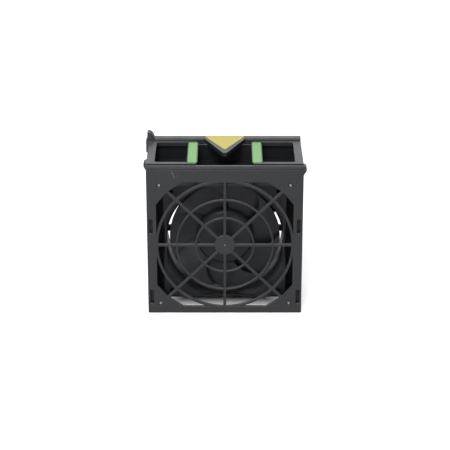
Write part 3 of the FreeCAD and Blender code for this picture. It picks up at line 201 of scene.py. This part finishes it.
FINISHES = {
    "latch_plastic": moulded("charcoal_acetal", "#1b1c1f", "#202124", (0.34, 0.42), bump=0.06),
    # printed polyester film: even, with a satin lacquer
    "yellow_inlay": moulded("yellow_film", "#c2b435", "#c8bb3c", (0.42, 0.5), bump=0.04),
    # soft-touch moulded pad, chalky green
    "green_pad": moulded("green_elastomer", "#86b978", "#8dc07f", (0.6, 0.72)),
    # glass-filled PBT of the fan: near black, with a faint fibre mottle
    "fan_plastic": moulded("black_pbt", "#161719", "#1a1b1d", (0.5, 0.58), cloud_mm=9.0, ior=1.28),
    "impeller_plastic": moulded("black_pbt_gloss", "#1c1d20", "#212225", (0.36, 0.42), bump=0.06,
                                ior=1.25),
    "mount_rubber": moulded("black_rubber", "#161616", "#1c1c1c", (0.7, 0.85), bump=0.3),
    "magnet": moulded("bonded_ferrite", "#2a2826", "#32302d", (0.6, 0.75)),
    "nylon": moulded("natural_nylon", "#d6d2c2", "#e0dccd", (0.4, 0.5)),
    "board": moulded("solder_mask", "#1d4d2b", "#225833", (0.25, 0.35), bump=0.05),
    "chip_plastic": moulded("moulded_epoxy", "#1a1a1a", "#222222", (0.5, 0.6)),
    "connector_plastic": moulded("black_lcp", "#1c1c1d", "#232324", (0.42, 0.55)),
    # metals: their colour is the mirror tint, and the grain is the machining
    "spring_steel": moulded("drawn_wire", "#b4b4b2", "#c2c2c0", (0.25, 0.35), metallic=1.0),
    "ground_steel": moulded("ground_steel", "#c4c5c7", "#cfd0d2", (0.18, 0.28), metallic=1.0),
    "zinc_steel": moulded("zinc_plate", "#b0b3b8", "#bcbfc3", (0.3, 0.42), metallic=1.0),
    "brass": moulded("turned_brass", "#96773c", "#a18244", (0.25, 0.35), metallic=1.0),
    "copper_wire": moulded("enamelled_copper", "#a85f38", "#b46a42", (0.25, 0.35), metallic=1.0),
    "contact_metal": moulded("gold_flash", "#cfa95c", "#dab768", (0.2, 0.3), metallic=1.0),
}
# (x, z) of both ends in mm, width in mm, depth: one long scratch and two short ones
SCRATCHES = [((-54.6, 154.0), (-51.6, 151.2), 0.9, 0.10),
             ((-51.9, 152.0), (-48.0, 141.5), 1.1, 0.32),
             ((-45.2, 149.5), (-46.1, 142.5), 1.0, 0.09)]
# The housing plastic is ABS-PC, almost black itself, so that what the eye sees is the white room,
# mirrored softly. Its three mouldings each have their own finish: the cover is worn, the duct is a
# darker copy of the frame's tone, painted shade for its deep compartments, and the lifting frame a
# paler copy, painted light on its rails.
OWN_FINISHES = {
    # the duct behind the cover, darker than the lifting frame: painted shade for its deep
    # compartments
    "housing": moulded("black_abs", "#1b1c1e", "#1f2022", (0.42, 0.50), bump=0.10, ior=1.3),
    # the cover's face, slid past sheet metal; on its up-facing rims the paler film,
    # a dusting and painted top light
    "front_cover": moulded("charcoal_abs_worn", "#191a1d", "#1e1f22", (0.46, 0.54), bump=0.10,
                           ior=1.38, scratches=SCRATCHES, dust=0.26),
    # the lifting frame, paler: painted light on its rails, and on its top faces the paler film,
    # a dusting and painted top light
    "top_frame": moulded("charcoal_abs_dusty", "#242528", "#292a2d", (0.46, 0.54), bump=0.10,
                         ior=1.42, dust=0.22),
    # a plastic peg melted down to a dome: smooth, and its pale tone is a painted glint
    "stake": moulded("melted_abs", "#6a6a6d", "#757578", (0.22, 0.3), bump=0.02),
}


def finish_of(node):
    return OWN_FINISHES[node] if node in OWN_FINISHES else FINISHES[slot_of_node[node]]


print("finishes:", len(FINISHES) + len(OWN_FINISHES))

# %% [markdown]
# ## Softened edges
#
# No moulding has a razor edge: the tool's edges are radiused, and that thin round is what
# catches the light along every rim. The CAD mesh is made of loose triangles, so each visible
# moulding is copied, its doubles merged, its flat triangles joined to plain faces, and a Bevel
# modifier rounds every edge that turns by more than an angle. The bevel stops at the shortest
# edge that it meets, so corners closer together than WELD are welded first. The copy then stands
# for the CAD node in the picture. The housing's snap noses also move back in the cover's slots,
# so that the slots look as deep as they are.

# %% Rounded copies of the mouldings
DOUBLES, WELD = 0.002 * MM, 0.3 * MM
FLAT_ANGLE, SHARP_ANGLE = math.radians(0.6), math.radians(35.0)
NOSE_SET_BACK, NOSE_INNER, NOSE_DEPTH = np.array([3.0, 70.5, 2.5]) * MM


def set_noses_back(work):
    """Move the snap noses back: all that is farther out and nearer the front than their roots."""
    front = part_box("front_cover")[0][1]
    for vert in work.verts:
        if abs(vert.co.x) > NOSE_INNER and vert.co.y < front + NOSE_DEPTH:
            vert.co.y += NOSE_SET_BACK


def softened(node, width_mm):
    """A merged copy of a CAD node with its sharp edges rounded to width_mm."""
    source = frame["nodes"][node]
    mesh = bpy.data.meshes.new(f"{node}_moulded")
    work = bmesh.new()
    work.from_mesh(source.data)
    if node == "housing":
        set_noses_back(work)
    for reach in (DOUBLES, WELD):
        bmesh.ops.remove_doubles(work, verts=work.verts, dist=reach)
    bmesh.ops.dissolve_limit(work, angle_limit=FLAT_ANGLE, use_dissolve_boundaries=False,
                             verts=work.verts, edges=work.edges, delimit=set())
    work.to_mesh(mesh)
    work.free()
    piece = bpy.data.objects.new(f"{node}_moulded", mesh)
    bpy.context.scene.collection.objects.link(piece)
    mesh.shade_smooth()
    mesh.materials.clear()
    mesh.materials.append(finish_of(node))
    bevel = piece.modifiers.new("edge_round", "BEVEL")
    bevel.width = width_mm * MM
    bevel.segments = 2
    bevel.limit_method = "ANGLE"
    bevel.angle_limit = SHARP_ANGLE
    bevel.use_clamp_overlap = True
    weights = piece.modifiers.new("flat_faces_lead", "WEIGHTED_NORMAL")
    weights.keep_sharp = False
    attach(piece, body_of_node[node])
    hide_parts(node)
    return piece


EDGE_ROUNDS = {"housing": 0.35, "top_frame": 0.35, "latch_right": 0.25, "latch_left": 0.25,
               "grip_pad_right": 0.3, "grip_pad_left": 0.3, "fan_frame": 0.35}
mouldings = {node: softened(node, width) for node, width in EDGE_ROUNDS.items()}
for node, source in frame["nodes"].items():
    if node not in mouldings:
        source.data.materials.clear()
        source.data.materials.append(finish_of(node))
print("softened:", ", ".join(mouldings))

# %% [markdown]
# ## Surfaces on a grid
#
# The new pieces below are made of grids of points: the rows run one way over the surface and the
# columns the other, both from a formula. One function turns such grids into a mesh. It joins the
# last column to the first, because every surface here closes on itself, and fills the two open
# ends with one face each where the piece has ends.

# %% From a grid to a mesh


def grid_faces(rows, columns):
    """Corner numbers of every cell: (i, j), (i, j + 1), (i + 1, j + 1), (i + 1, j)."""
    i, j = np.meshgrid(np.arange(rows - 1), np.arange(columns), indexing="ij")
    right = (j + 1) % columns
    cells = [i * columns + j, i * columns + right, (i + 1) * columns + right, (i + 1) * columns + j]
    return np.stack(cells, axis=-1).reshape(-1, 4)


def grid_mesh(name, grids, caps=True):
    """One mesh of several grids of shape (rows, columns, 3)."""
    points, faces, start = [], [], 0
    for grid in grids:
        rows, columns = grid.shape[:2]
        points += grid.reshape(-1, 3).tolist()
        faces += (grid_faces(rows, columns) + start).tolist()
        if caps:
            faces.append(list(range(start, start + columns))[::-1])
            faces.append(list(range(start + (rows - 1) * columns, start + rows * columns)))
        start += rows * columns
    mesh = bpy.data.meshes.new(name)
    mesh.from_pydata(points, [], faces)
    return mesh


def joined_piece(name, meshes, body, slot, nodes=(), finish=None, sharp_from=40.0):
    """Meshes joined to one piece, its normals outwards, put on a body and given its finish.

    Edges that turn by more than sharp_from degrees stay sharp.
    """
    mesh = bpy.data.meshes.new(name)
    work = bmesh.new()
    for part in meshes:
        work.from_mesh(part)
    bmesh.ops.remove_doubles(work, verts=work.verts, dist=0.001 * MM)
    bmesh.ops.recalc_face_normals(work, faces=work.faces)
    work.to_mesh(mesh)
    work.free()
    mesh.shade_smooth()
    mesh.set_sharp_from_angle(angle=math.radians(sharp_from))
    mesh.materials.clear()
    mesh.materials.append(finish or FINISHES[slot])
    piece = bpy.data.objects.new(name, mesh)
    bpy.context.scene.collection.objects.link(piece)
    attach(piece, body)
    if nodes:
        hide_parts(*nodes)
    print(name, len(mesh.polygons), "faces")
    return piece


def grid_piece(name, grids, body, slot, **choices):
    return joined_piece(name, [grid_mesh(name, grids)], body, slot, **choices)


# %% [markdown]
# ## The cover and its finger guard
#
# The cover is one moulding: a flat plate with an eight-sided window, slots for the housing's
# snap arms, and rings and spokes across the window. Its edges are what the eye reads, because
# each one is a fine radius that catches the light. So it isn't the CAD mesh with rounded
# edges, but drawn anew: the plate is a flat curve with holes, whose bevel rounds every rim, a
# ring is a rounded section turned about the axis, and a spoke is the same section carried
# outwards. Along the top runs a thin rim, then a groove, then a rounded bead.

# %% Sections, rings and spokes
cover_low, cover_high = (np.array(corner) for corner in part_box("front_cover"))
shaft_low, shaft_high = (np.array(corner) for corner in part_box("shaft"))
AXIS_Z = (shaft_low[2] + shaft_high[2]) / 2
COVER_FRONT, COVER_HALF = cover_low[1], cover_high[0]
PLATE_DEPTH, GRILLE_DEPTH, SKIRT_WIDTH = np.array([3.0, 2.6, 1.6]) * MM
RING_ROUND, SPOKE_ROUND = 0.7 * MM, 0.75 * MM


def about_axis(radius, y, angle):
    """Point at a radius and angle about the fan's axis, at a depth y."""
    return np.stack(np.broadcast_arrays(radius * np.cos(angle), y, AXIS_Z + radius * np.sin(angle)),
                    axis=-1)


def rounded_section(width, depth, radius, steps=5):
    """Rectangle of width by depth with quarter-circle corners: columns are (across, back)."""
    turns = np.linspace(0, np.pi / 2, steps)
    x, y = width / 2 - radius, depth / 2 - radius
    corners = [(x, y, 0), (-x, y, 1), (-x, -y, 2), (x, -y, 3)]
    arcs = [np.stack([a + radius * np.cos(turns + quarter * np.pi / 2),
                      b + radius * np.sin(turns + quarter * np.pi / 2)], axis=-1)
            for a, b, quarter in corners]
    return np.concatenate(arcs) + (0.0, depth / 2)


def ring_grid(radius, width, front, steps=144):
    """Rounded section at a radius, turned right round: rows go round the section."""
    across, back = rounded_section(width, GRILLE_DEPTH, RING_ROUND).T
    closed = np.append(np.arange(len(across)), 0)
    turns = np.linspace(0, 2 * np.pi, steps, endpoint=False)
    return about_axis(radius + across[closed, None], front + back[closed, None], turns[None, :])


def bar_grid(first, last, width, depth, front, radius):
    """Rounded section carried straight from one (x, z) point to another."""
    first, last = np.array(first), np.array(last)
    along = (last - first) / np.linalg.norm(last - first)
    across, back = rounded_section(width, depth, radius).T
    sideways = np.array([-along[1], along[0]])
    ends = np.stack([first, last])[:, None, :] + across[None, :, None] * sideways
    depths = np.broadcast_to(front + back, ends.shape[:2])
    return np.stack([ends[..., 0], depths, ends[..., 1]], axis=-1)


# %% The plate
TOP_RIM, BEAD_GAP, BEAD_HEIGHT, BEAD_FOOT, RIM_ROUND = np.array([0.4, 0.8, 1.8, 0.4, 0.45]) * MM
BEAD_TOP = cover_high[2] - TOP_RIM - BEAD_GAP
PLATE_TOP = BEAD_TOP - BEAD_HEIGHT - BEAD_FOOT
CORNER_ROUND, INNER_ROUND = 1.2 * MM, 0.6 * MM
# corners of the window from the axis, top edge to side, in the upper right quarter
WINDOW_QUARTER = np.array([(40.9, 65.8), (56.6, 55.2), (66.7, 42.5)]) * MM
SLOT_INNER, SLOT_WIDTH, SLOT_HEIGHT, SLOT_LEDGE = np.array([70.4, 3.9, 14.9, 0.8]) * MM
SLOT_BOTTOMS = (10.1, 85.2)
STAKE_RADIUS, STAKE_ACROSS, STAKE_UP = 2.1 * MM, 63.5, 62.5


def rounded_rectangle(low_x, high_x, low_z, high_z, radius, steps=8):
    """Four quarter circles of a radius, joined by straight sides, as (x, z) points."""
    turns = np.linspace(0, np.pi / 2, steps)
    corners = [(high_x - radius, high_z - radius, 0), (low_x + radius, high_z - radius, 1),
               (low_x + radius, low_z + radius, 2), (high_x - radius, low_z + radius, 3)]
    return np.concatenate([np.stack([x + radius * np.cos(turns + quarter * np.pi / 2),
                                     z + radius * np.sin(turns + quarter * np.pi / 2)], axis=-1)
                           for x, z, quarter in corners])


def flat_mesh(loops, front, depth, edge):
    """Plate between an outer loop and holes, all (x, z), whose rims are rounded by a radius.

    A flat curve is filled, extruded and bevelled in its own plane. Then (x, y, z) becomes
    (x, front + depth / 2 - z, y), which stands it up facing forwards.
    """
    curve = bpy.data.curves.new("outline", "CURVE")
    curve.dimensions, curve.fill_mode = "2D", "BOTH"
    curve.extrude, curve.bevel_depth, curve.offset = depth / 2 - edge, edge, -edge
    curve.bevel_resolution = 2
    for loop in loops:
        spline = curve.splines.new("POLY")
        spline.points.add(len(loop) - 1)
        spline.points.foreach_set("co", np.column_stack([loop, np.zeros(len(loop)),
                                                         np.ones(len(loop))]).ravel())
        spline.use_cyclic_u = True
    holder = bpy.data.objects.new("outline", curve)
    mesh = bpy.data.meshes.new_from_object(holder)
    spots = np.empty(len(mesh.vertices) * 3, dtype=np.float32)
    mesh.vertices.foreach_get("co", spots)
    x, y, z = spots.reshape(-1, 3).T
    mesh.vertices.foreach_set("co", np.column_stack([x, front + depth / 2 - z, y]).ravel())
    bpy.data.objects.remove(holder)
    return mesh


window = np.concatenate([WINDOW_QUARTER, WINDOW_QUARTER[::-1] * (1, -1), WINDOW_QUARTER * (-1, -1),
                         WINDOW_QUARTER[::-1] * (-1, 1)]) + (0, AXIS_Z)
slot_corners = [(side, cover_low[2] + bottom * MM) for side in (1, -1) for bottom in SLOT_BOTTOMS]


def slot_loop(side, bottom, inner, outer):
    """A slot's outline on one side of the cover, between two distances from the middle."""
    low_x, high_x = sorted((side * inner, side * outer))
    return rounded_rectangle(low_x, high_x, bottom, bottom + SLOT_HEIGHT, INNER_ROUND)


slots = [slot_loop(side, bottom, SLOT_INNER, SLOT_INNER + SLOT_WIDTH)
         for side, bottom in slot_corners]
stake_spots = [(x * MM, AXIS_Z + z * MM) for x in (-STAKE_ACROSS, STAKE_ACROSS)
               for z in (-STAKE_UP, STAKE_UP)]
circle = np.linspace(0, 2 * np.pi, 24, endpoint=False)
stakes = [np.stack([x + STAKE_RADIUS * np.cos(circle), z + STAKE_RADIUS * np.sin(circle)], axis=-1)
          for x, z in stake_spots]
sheet = rounded_rectangle(-COVER_HALF, COVER_HALF, cover_low[2], PLATE_TOP, CORNER_ROUND)
plate = flat_mesh([sheet, window, *slots, *stakes], COVER_FRONT, PLATE_DEPTH, RIM_ROUND)
print("plate", len(plate.polygons), "faces")

# %% The whole cover
SINK, SKIRT_EDGE = 0.1 * MM, 0.2 * MM
LEDGE_FRONT, LEDGE_THICK, LEDGE_EDGE, LEDGE_SINK = np.array([2.3, 0.65, 0.1, 0.3]) * MM
RINGS = [(28.2, 2.0), (47.1, 2.0), (66.5, 2.8)]
RING_SET_BACK, SPOKE_SET_BACK = 0.08 * MM, 0.04 * MM
SPOKES, SPOKE_WIDTH, HUB_DISC = 8, 2.9 * MM, 10.2 * MM
SPOKE_ROOT, STRAIGHT_REACH, DIAGONAL_REACH = np.array([8.0, 67.5, 79.6]) * MM
rim = rounded_rectangle(-COVER_HALF, COVER_HALF, cover_low[2], cover_high[2], CORNER_ROUND)
hollow = rounded_rectangle(-COVER_HALF + SKIRT_WIDTH, COVER_HALF - SKIRT_WIDTH,
                           cover_low[2] + SKIRT_WIDTH, cover_high[2] - SKIRT_WIDTH, INNER_ROUND)
skirt = flat_mesh([rim, hollow], COVER_FRONT + PLATE_DEPTH - SINK,
                  cover_high[1] - COVER_FRONT - PLATE_DEPTH + SINK, SKIRT_EDGE)
ledges = [flat_mesh([slot_loop(side, bottom, SLOT_INNER + SLOT_WIDTH - SLOT_LEDGE,
                               SLOT_INNER + SLOT_WIDTH + LEDGE_SINK)],
                    COVER_FRONT + LEDGE_FRONT, LEDGE_THICK, LEDGE_EDGE)
          for side, bottom in slot_corners]


def lip_bar(low_z, high_z, sink, radius):
    """Bar right across the cover, sunk behind its face."""
    middle, reach = (low_z + high_z) / 2, COVER_HALF - 0.3 * MM
    return bar_grid((-reach, middle), (reach, middle), high_z - low_z, PLATE_DEPTH - sink,
                    COVER_FRONT + sink, radius)


# the rim, the bead, and the web behind both that closes the groove
lip = [lip_bar(cover_high[2] - TOP_RIM, cover_high[2], 0.25 * MM, 0.2 * MM),
       lip_bar(BEAD_TOP - BEAD_HEIGHT, BEAD_TOP, 0.02 * MM, 0.8 * MM),
       lip_bar(PLATE_TOP - 0.6 * MM, cover_high[2] - 0.3 * MM, 1.1 * MM, 0.1 * MM)]
rings = [ring_grid(radius * MM, width * MM, COVER_FRONT + RING_SET_BACK)
         for radius, width in RINGS]
spokes = []
for index in range(SPOKES):
    angle = 2 * np.pi * index / SPOKES
    reach = STRAIGHT_REACH if index % 2 == 0 else DIAGONAL_REACH
    ends = [np.array([0, AXIS_Z]) + r * np.array([np.cos(angle), np.sin(angle)])
            for r in (SPOKE_ROOT, reach)]
    spokes.append(bar_grid(*ends, SPOKE_WIDTH, GRILLE_DEPTH, COVER_FRONT + SPOKE_SET_BACK,
                           SPOKE_ROUND))


def disc_grid(radius, depth, edge, dimple, dimple_depth, steps=72):
    """Disc turned about the axis: a dimple in its middle, a rounded rim, side and back."""
    turns = np.linspace(0, np.pi / 2, 6)
    rim_turn = list(zip(radius - edge + edge * np.sin(turns), edge - edge * np.cos(turns)))
    profile = [(0.01 * MM, dimple_depth), (dimple * 0.75, dimple_depth), (dimple, 0.0), *rim_turn,
               (radius, depth), (0.01 * MM, depth)]
    r, back = np.array(profile).T
    angles = np.linspace(0, 2 * np.pi, steps, endpoint=False)
    return about_axis(r[:, None], COVER_FRONT + back[:, None], angles[None, :])


hub_disc = disc_grid(HUB_DISC, GRILLE_DEPTH, 0.6 * MM, 1.7 * MM, 0.6 * MM)
cover = joined_piece("front_cover_moulded",
                     [plate, skirt, *ledges,
                      grid_mesh("rings", rings, caps=False),
                      grid_mesh("bars", [*lip, hub_disc, *spokes])],
                     "module", "housing_plastic", nodes=["front_cover"],
                     finish=OWN_FINISHES["front_cover"], sharp_from=80.0)
flat_lead = cover.modifiers.new("flat_faces_lead", "WEIGHTED_NORMAL")
flat_lead.keep_sharp = True

# %% Melted stake heads
DOME_FOOT = 1.2 * MM


def dome_grid(x, z, radius, front, height, steps=24):
    """Dome about a front-to-back line: radius * sin t across, height * (1 - cos t) back."""
    turns = np.linspace(0.02, np.pi / 2, 8)[:, None]
    around = np.linspace(0, 2 * np.pi, steps, endpoint=False)[None, :]
    across = radius * np.sin(turns)
    back = front + height * (1 - np.cos(turns))
    rows = np.stack(np.broadcast_arrays(x + across * np.cos(around), back,
                                        z + across * np.sin(around)), axis=-1)
    foot = rows[-1:] + (0, DOME_FOOT, 0)
    return np.concatenate([rows, foot])


domes = [dome_grid(x, z, 1.6 * MM, COVER_FRONT + 0.15 * MM, 1.1 * MM) for x, z in stake_spots]
# and the mark that the moulding's gate leaves in the middle of the hub disc, with the same
# painted glint
domes.append(dome_grid(0.0, AXIS_Z, 0.8 * MM, COVER_FRONT + 0.2 * MM, 0.5 * MM))
joined_piece("stake_heads", [grid_mesh("domes", domes)], "module", "housing_plastic",
             finish=OWN_FINISHES["stake"])

# %% [markdown]
# ## The impeller
#
# A fan rotor is one moulding: a cup with a rounded rim that hides the motor, and thin blades
# that sweep forwards. Its hub is a profile turned about the axis. Each blade is a sheet bent
# round a large cylinder and trimmed by its outline, and gets thinner towards both edges, as a
# real blade does so that the air leaves it cleanly. The axis and the rotor's face come from the
# frame, and the tip radius is given.

# %% Hub and blades
HUB_RADIUS, HUB_ROUND, HUB_FRONT, HUB_DEPTH, HUB_WALL = np.array([28.5, 4.2, 10.0, 24.0, 1.8]) * MM
FAN_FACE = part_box("impeller")[0][1] - HUB_FRONT
BLADES = 7
TIP_RADIUS, BLADE_THICKNESS = 54.6 * MM, 1.8 * MM
# the outline: where the leading edge starts, how far it sweeps, and how wide the blade is at
# its root and its tip
BLADE_START, BLADE_SWEEP, ROOT_WRAP, TIP_WRAP = np.radians([106.0, -23.9, 71.4, 83.4])
# the sheet: its slope and its bend, and where its middle line lies
BLADE_SLOPE, MIDDLE_SHIFT = np.radians([18.6, 11.5])
SHEET_DEPTH, SHEET_BEND = 21.3 * MM, 132.0 * MM


def on_axis(radius, depth, angle):
    """Point at a radius and angle about the fan's axis, at a depth behind the fan's face."""
    return about_axis(radius, FAN_FACE + depth, angle)


def turned_profile(profile, steps=144):
    """A profile of (radius, depth) swept round the axis: one row per profile point."""
    turns = np.linspace(0, 2 * np.pi, steps, endpoint=False)
    radius, depth = np.array(profile).T
    return on_axis(radius[:, None], depth[:, None], turns[None, :])


def quarter_round(radius, depth, size, steps=9):
    """Quarter circle from the front face out to the side, about (radius, depth)."""
    turns = np.linspace(0, np.pi / 2, steps)
    return list(zip(radius + size * np.sin(turns), depth - size * np.cos(turns)))


def hub_profile():
    """Front face with a shallow dish, rounded rim, side, and the cup's inside."""
    front, back, inner = HUB_FRONT, HUB_FRONT + HUB_DEPTH, HUB_RADIUS - HUB_WALL
    rim = quarter_round(HUB_RADIUS - HUB_ROUND, front + HUB_ROUND, HUB_ROUND)
    return [(0.01 * MM, front), (HUB_RADIUS - 2.2 * HUB_ROUND, front), *rim,
            (HUB_RADIUS, back), (inner, back), (inner, front + HUB_WALL + HUB_ROUND),
            (inner - HUB_ROUND / 2, front + HUB_WALL), (0.01 * MM, front + HUB_WALL)]


def blade_grid(index, shares=25, chord=25):
    """Blade as a closed loop round its chord, one row from root to tip.

    The outline's angle is start + sweep * (1 - share ** 1.6) - wrap * along. With t measured
    across the blade's middle line, the sheet lies at depth = centre - sqrt(R ** 2 - (t - c) ** 2),
    a circle of radius R. Half the thickness, times (1 - (2 * along - 1) ** 6) ** 0.5, is taken
    off and added for the front and the back.
    """
    share = np.linspace(0, 1, shares)[:, None]
    along = (1 - np.cos(np.linspace(0, np.pi, chord))) / 2
    loop = np.concatenate([along, along[-2:0:-1]])[None, :]
    skin = np.concatenate([-np.ones(chord), np.ones(chord - 2)])[None, :]
    root = HUB_RADIUS - HUB_WALL / 2
    radius = root + (TIP_RADIUS - root) * share
    wrap = ROOT_WRAP + (TIP_WRAP - ROOT_WRAP) * share
    angle = BLADE_START + BLADE_SWEEP * (1 - share ** 1.6) - wrap * loop
    middle = (BLADE_START + BLADE_SWEEP * (1 - 0.5 ** 1.6) - (ROOT_WRAP + TIP_WRAP) / 4
              - MIDDLE_SHIFT)
    bend = SHEET_BEND / np.cos(BLADE_SLOPE) ** 3
    across = radius * np.sin(angle - middle)
    sheet = (SHEET_DEPTH + bend * np.cos(BLADE_SLOPE)
             - np.sqrt(bend ** 2 - (across - bend * np.sin(BLADE_SLOPE)) ** 2))
    edge = np.sqrt(np.clip(1 - (2 * loop - 1) ** 6, 0, 1))
    thick = BLADE_THICKNESS * (1 - 0.35 * share) / 2
    return on_axis(radius, sheet + skin * edge * thick, angle + 2 * np.pi * index / BLADES)


grid_piece("impeller_moulding",
           [turned_profile(hub_profile()), *[blade_grid(i) for i in range(BLADES)]],
           "rotor", "impeller_plastic", nodes=["impeller"])

# %% [markdown]
# ## Latch springs
#
# Each latch is pushed outwards by a small compression spring of round wire. CAD holds it as a
# coarse stepped coil. Here it is a tube along a helix, whose ends flatten into closed turns.

# %% Coils of round wire
WIRE_RADIUS = 0.4 * MM
SPRING_TURNS = 5.0
END_SHARE = 0.07
POST_FACE = {"right": 0.0583, "left": -0.0583}


def spring_grid(low, high, around=12, per_turn=36):
    """Tube round x = low + length * s, (y, z) = centre + R * (cos a, sin a), a = 2 pi n s.

    s stays at 0 and at 1 for a share of the turns, so each end lies flat against its seat.
    """
    steps = int(SPRING_TURNS * per_turn) + 1
    part = np.linspace(0, 1, steps)
    rise = np.clip((part - END_SHARE) / (1 - 2 * END_SHARE), 0, 1)
    turn = 2 * np.pi * SPRING_TURNS * part
    coil = (high[2] - low[2]) / 2 - WIRE_RADIUS
    centre_y, centre_z = (low[1] + high[1]) / 2, (low[2] + high[2]) / 2
    x = low[0] + WIRE_RADIUS + (high[0] - low[0] - 2 * WIRE_RADIUS) * rise
    ring = np.linspace(0, 2 * np.pi, around, endpoint=False)
    out = coil + WIRE_RADIUS * np.cos(ring)[None, :]
    return np.stack([x[:, None] + WIRE_RADIUS * np.sin(ring)[None, :],
                     centre_y + out * np.cos(turn)[:, None],
                     centre_z + out * np.sin(turn)[:, None]], axis=-1)


for side, anchor in POST_FACE.items():
    low, high = (np.array(corner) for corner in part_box(f"latch_spring_{side}"))
    coil = grid_piece(f"latch_spring_{side}_wire", [spring_grid(low, high)], "module",
                      "spring_steel", nodes=[f"latch_spring_{side}"])
    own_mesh(coil)

# %% [markdown]
# ## Floor, light and camera
#
# The module stands on a white table whose glow is even, but stops under the module: a painted
# shade beneath it. A wide softbox hangs overhead and a large sheet stands behind, for the tops of
# the rails and the edges. A strip above the front, a tall box and a low card light the face of the
# cover and what is seen through it, and a small key picks out the melted stakes. The camera looks
# down by about 22 degrees through a long lens, so that the verticals stay nearly parallel.

# %% Studio
FLOOR_HALF, FLOOR_HEIGHT = 6.0, -0.0002
# the floor's glow, and how far inside the module's outline it fades out: painted shade beneath
TABLE_GLOW, FLOOR_SHADE_MARGIN = 0.66, 36.0 * MM
ROOM_LIGHT = 0.18


def plane(name, half, height):
    """A square sheet in X and Y, half metres to each side."""
    corners = np.array([[-1, -1], [1, -1], [1, 1], [-1, 1]]) * half
    mesh = bpy.data.meshes.new(name)
    mesh.from_pydata([(x, y, height) for x, y in corners.tolist()], [], [(0, 1, 2, 3)])
    sheet = bpy.data.objects.new(name, mesh)
    bpy.context.scene.collection.objects.link(sheet)
    return sheet


def floor_with_painted_shade(name, colour, glow, half_x, half_y, margin):
    """Matt white sheet that glows evenly, except under the module, where no glow is painted shade.

    With d = max(|x| - half_x, |y| - half_y), the glow rises from none at d = -margin to all of
    it at d = -margin / 9.
    """
    material = bpy.data.materials.new(name)
    material.use_nodes = True
    tree = material.node_tree
    tree.nodes.clear()
    place = add_node(tree, "ShaderNodeTexCoord").outputs["Object"]
    sides = add_node(tree, "ShaderNodeVectorMath", {"operation": "ABSOLUTE"}, in0=place).outputs[0]
    past = add_node(tree, "ShaderNodeVectorMath", {"operation": "SUBTRACT"}, in0=sides,
                    in1=(half_x, half_y, 0)).outputs[0]
    parts = add_node(tree, "ShaderNodeSeparateXYZ", Vector=past).outputs
    farther = add_node(tree, "ShaderNodeMath", {"operation": "MAXIMUM"}, in0=parts["X"],
                       in1=parts["Y"])
    # no glow inside the module's outline: painted shade under the module
    level = add_node(tree, "ShaderNodeMapRange", Value=farther.outputs[0], From_Min=-margin,
                     From_Max=-margin / 9, To_Max=glow)
    shader = add_node(tree, "ShaderNodeBsdfPrincipled", Base_Color=linear(colour), Roughness=0.9,
                      Emission_Color=linear(colour), Emission_Strength=level.outputs[0])
    add_node(tree, "ShaderNodeOutputMaterial", Surface=shader.outputs["BSDF"])
    return material


floor = plane("floor", FLOOR_HALF, FLOOR_HEIGHT)
floor.data.materials.append(floor_with_painted_shade("lit_acrylic", "#f4f4f4", TABLE_GLOW, COVER_HALF,
                                        -COVER_FRONT, FLOOR_SHADE_MARGIN))


def softbox(name, place, aim, size, power):
    """A square area light of so many watts at a place, turned to face a point."""
    lamp = bpy.data.lights.new(name, "AREA")
    lamp.shape = "SQUARE"
    lamp.size = size
    lamp.energy = power
    holder = bpy.data.objects.new(name, lamp)
    bpy.context.scene.collection.objects.link(holder)
    holder.location = place
    toward = np.array(aim) - np.array(place)
    holder.rotation_euler = Vector(toward).to_track_quat("-Z", "Y").to_euler()


softbox("overhead", (0.0, 0.2, 1.9), (0, 0, 0.05), 1.8, 5.0)
softbox("top_strip", (-0.2, -0.8, 1.3), (0, 0, 0.08), 0.4, 12.0)
softbox("back_sheet", (0.0, 2.2, 1.0), (0, 0, 0.10), 1.6, 14.0)
softbox("front_tall", (-0.2, -1.3, 1.15), (0, 0, 0.10), 0.9, 7.0)
softbox("front_card", (-0.5, -2.4, 0.35), (0, 0, 0.08), 0.7, 12.0)
softbox("key", (-0.8, -1.2, 0.8), (0, 0, 0.08), 0.6, 0.8)

world = bpy.data.worlds.new("studio")
bpy.context.scene.world = world
world.use_nodes = True
background = world.node_tree.nodes["Background"].inputs
background["Color"].default_value = (1, 1, 1, 1)
background["Strength"].default_value = ROOM_LIGHT

eye = bpy.data.cameras.new("camera")
eye.lens = 122.6
eye.sensor_width = 36.0
eye.clip_end = 20.0
camera = bpy.data.objects.new("camera", eye)
camera.location = (0.0002, -1.4220, 0.6583)
camera.rotation_euler = (math.radians(67.8), 0, 0)
bpy.context.scene.collection.objects.link(camera)
bpy.context.scene.camera = camera
bpy.context.scene.view_settings.view_transform = "Standard"
print("camera lens", eye.lens, "mm")
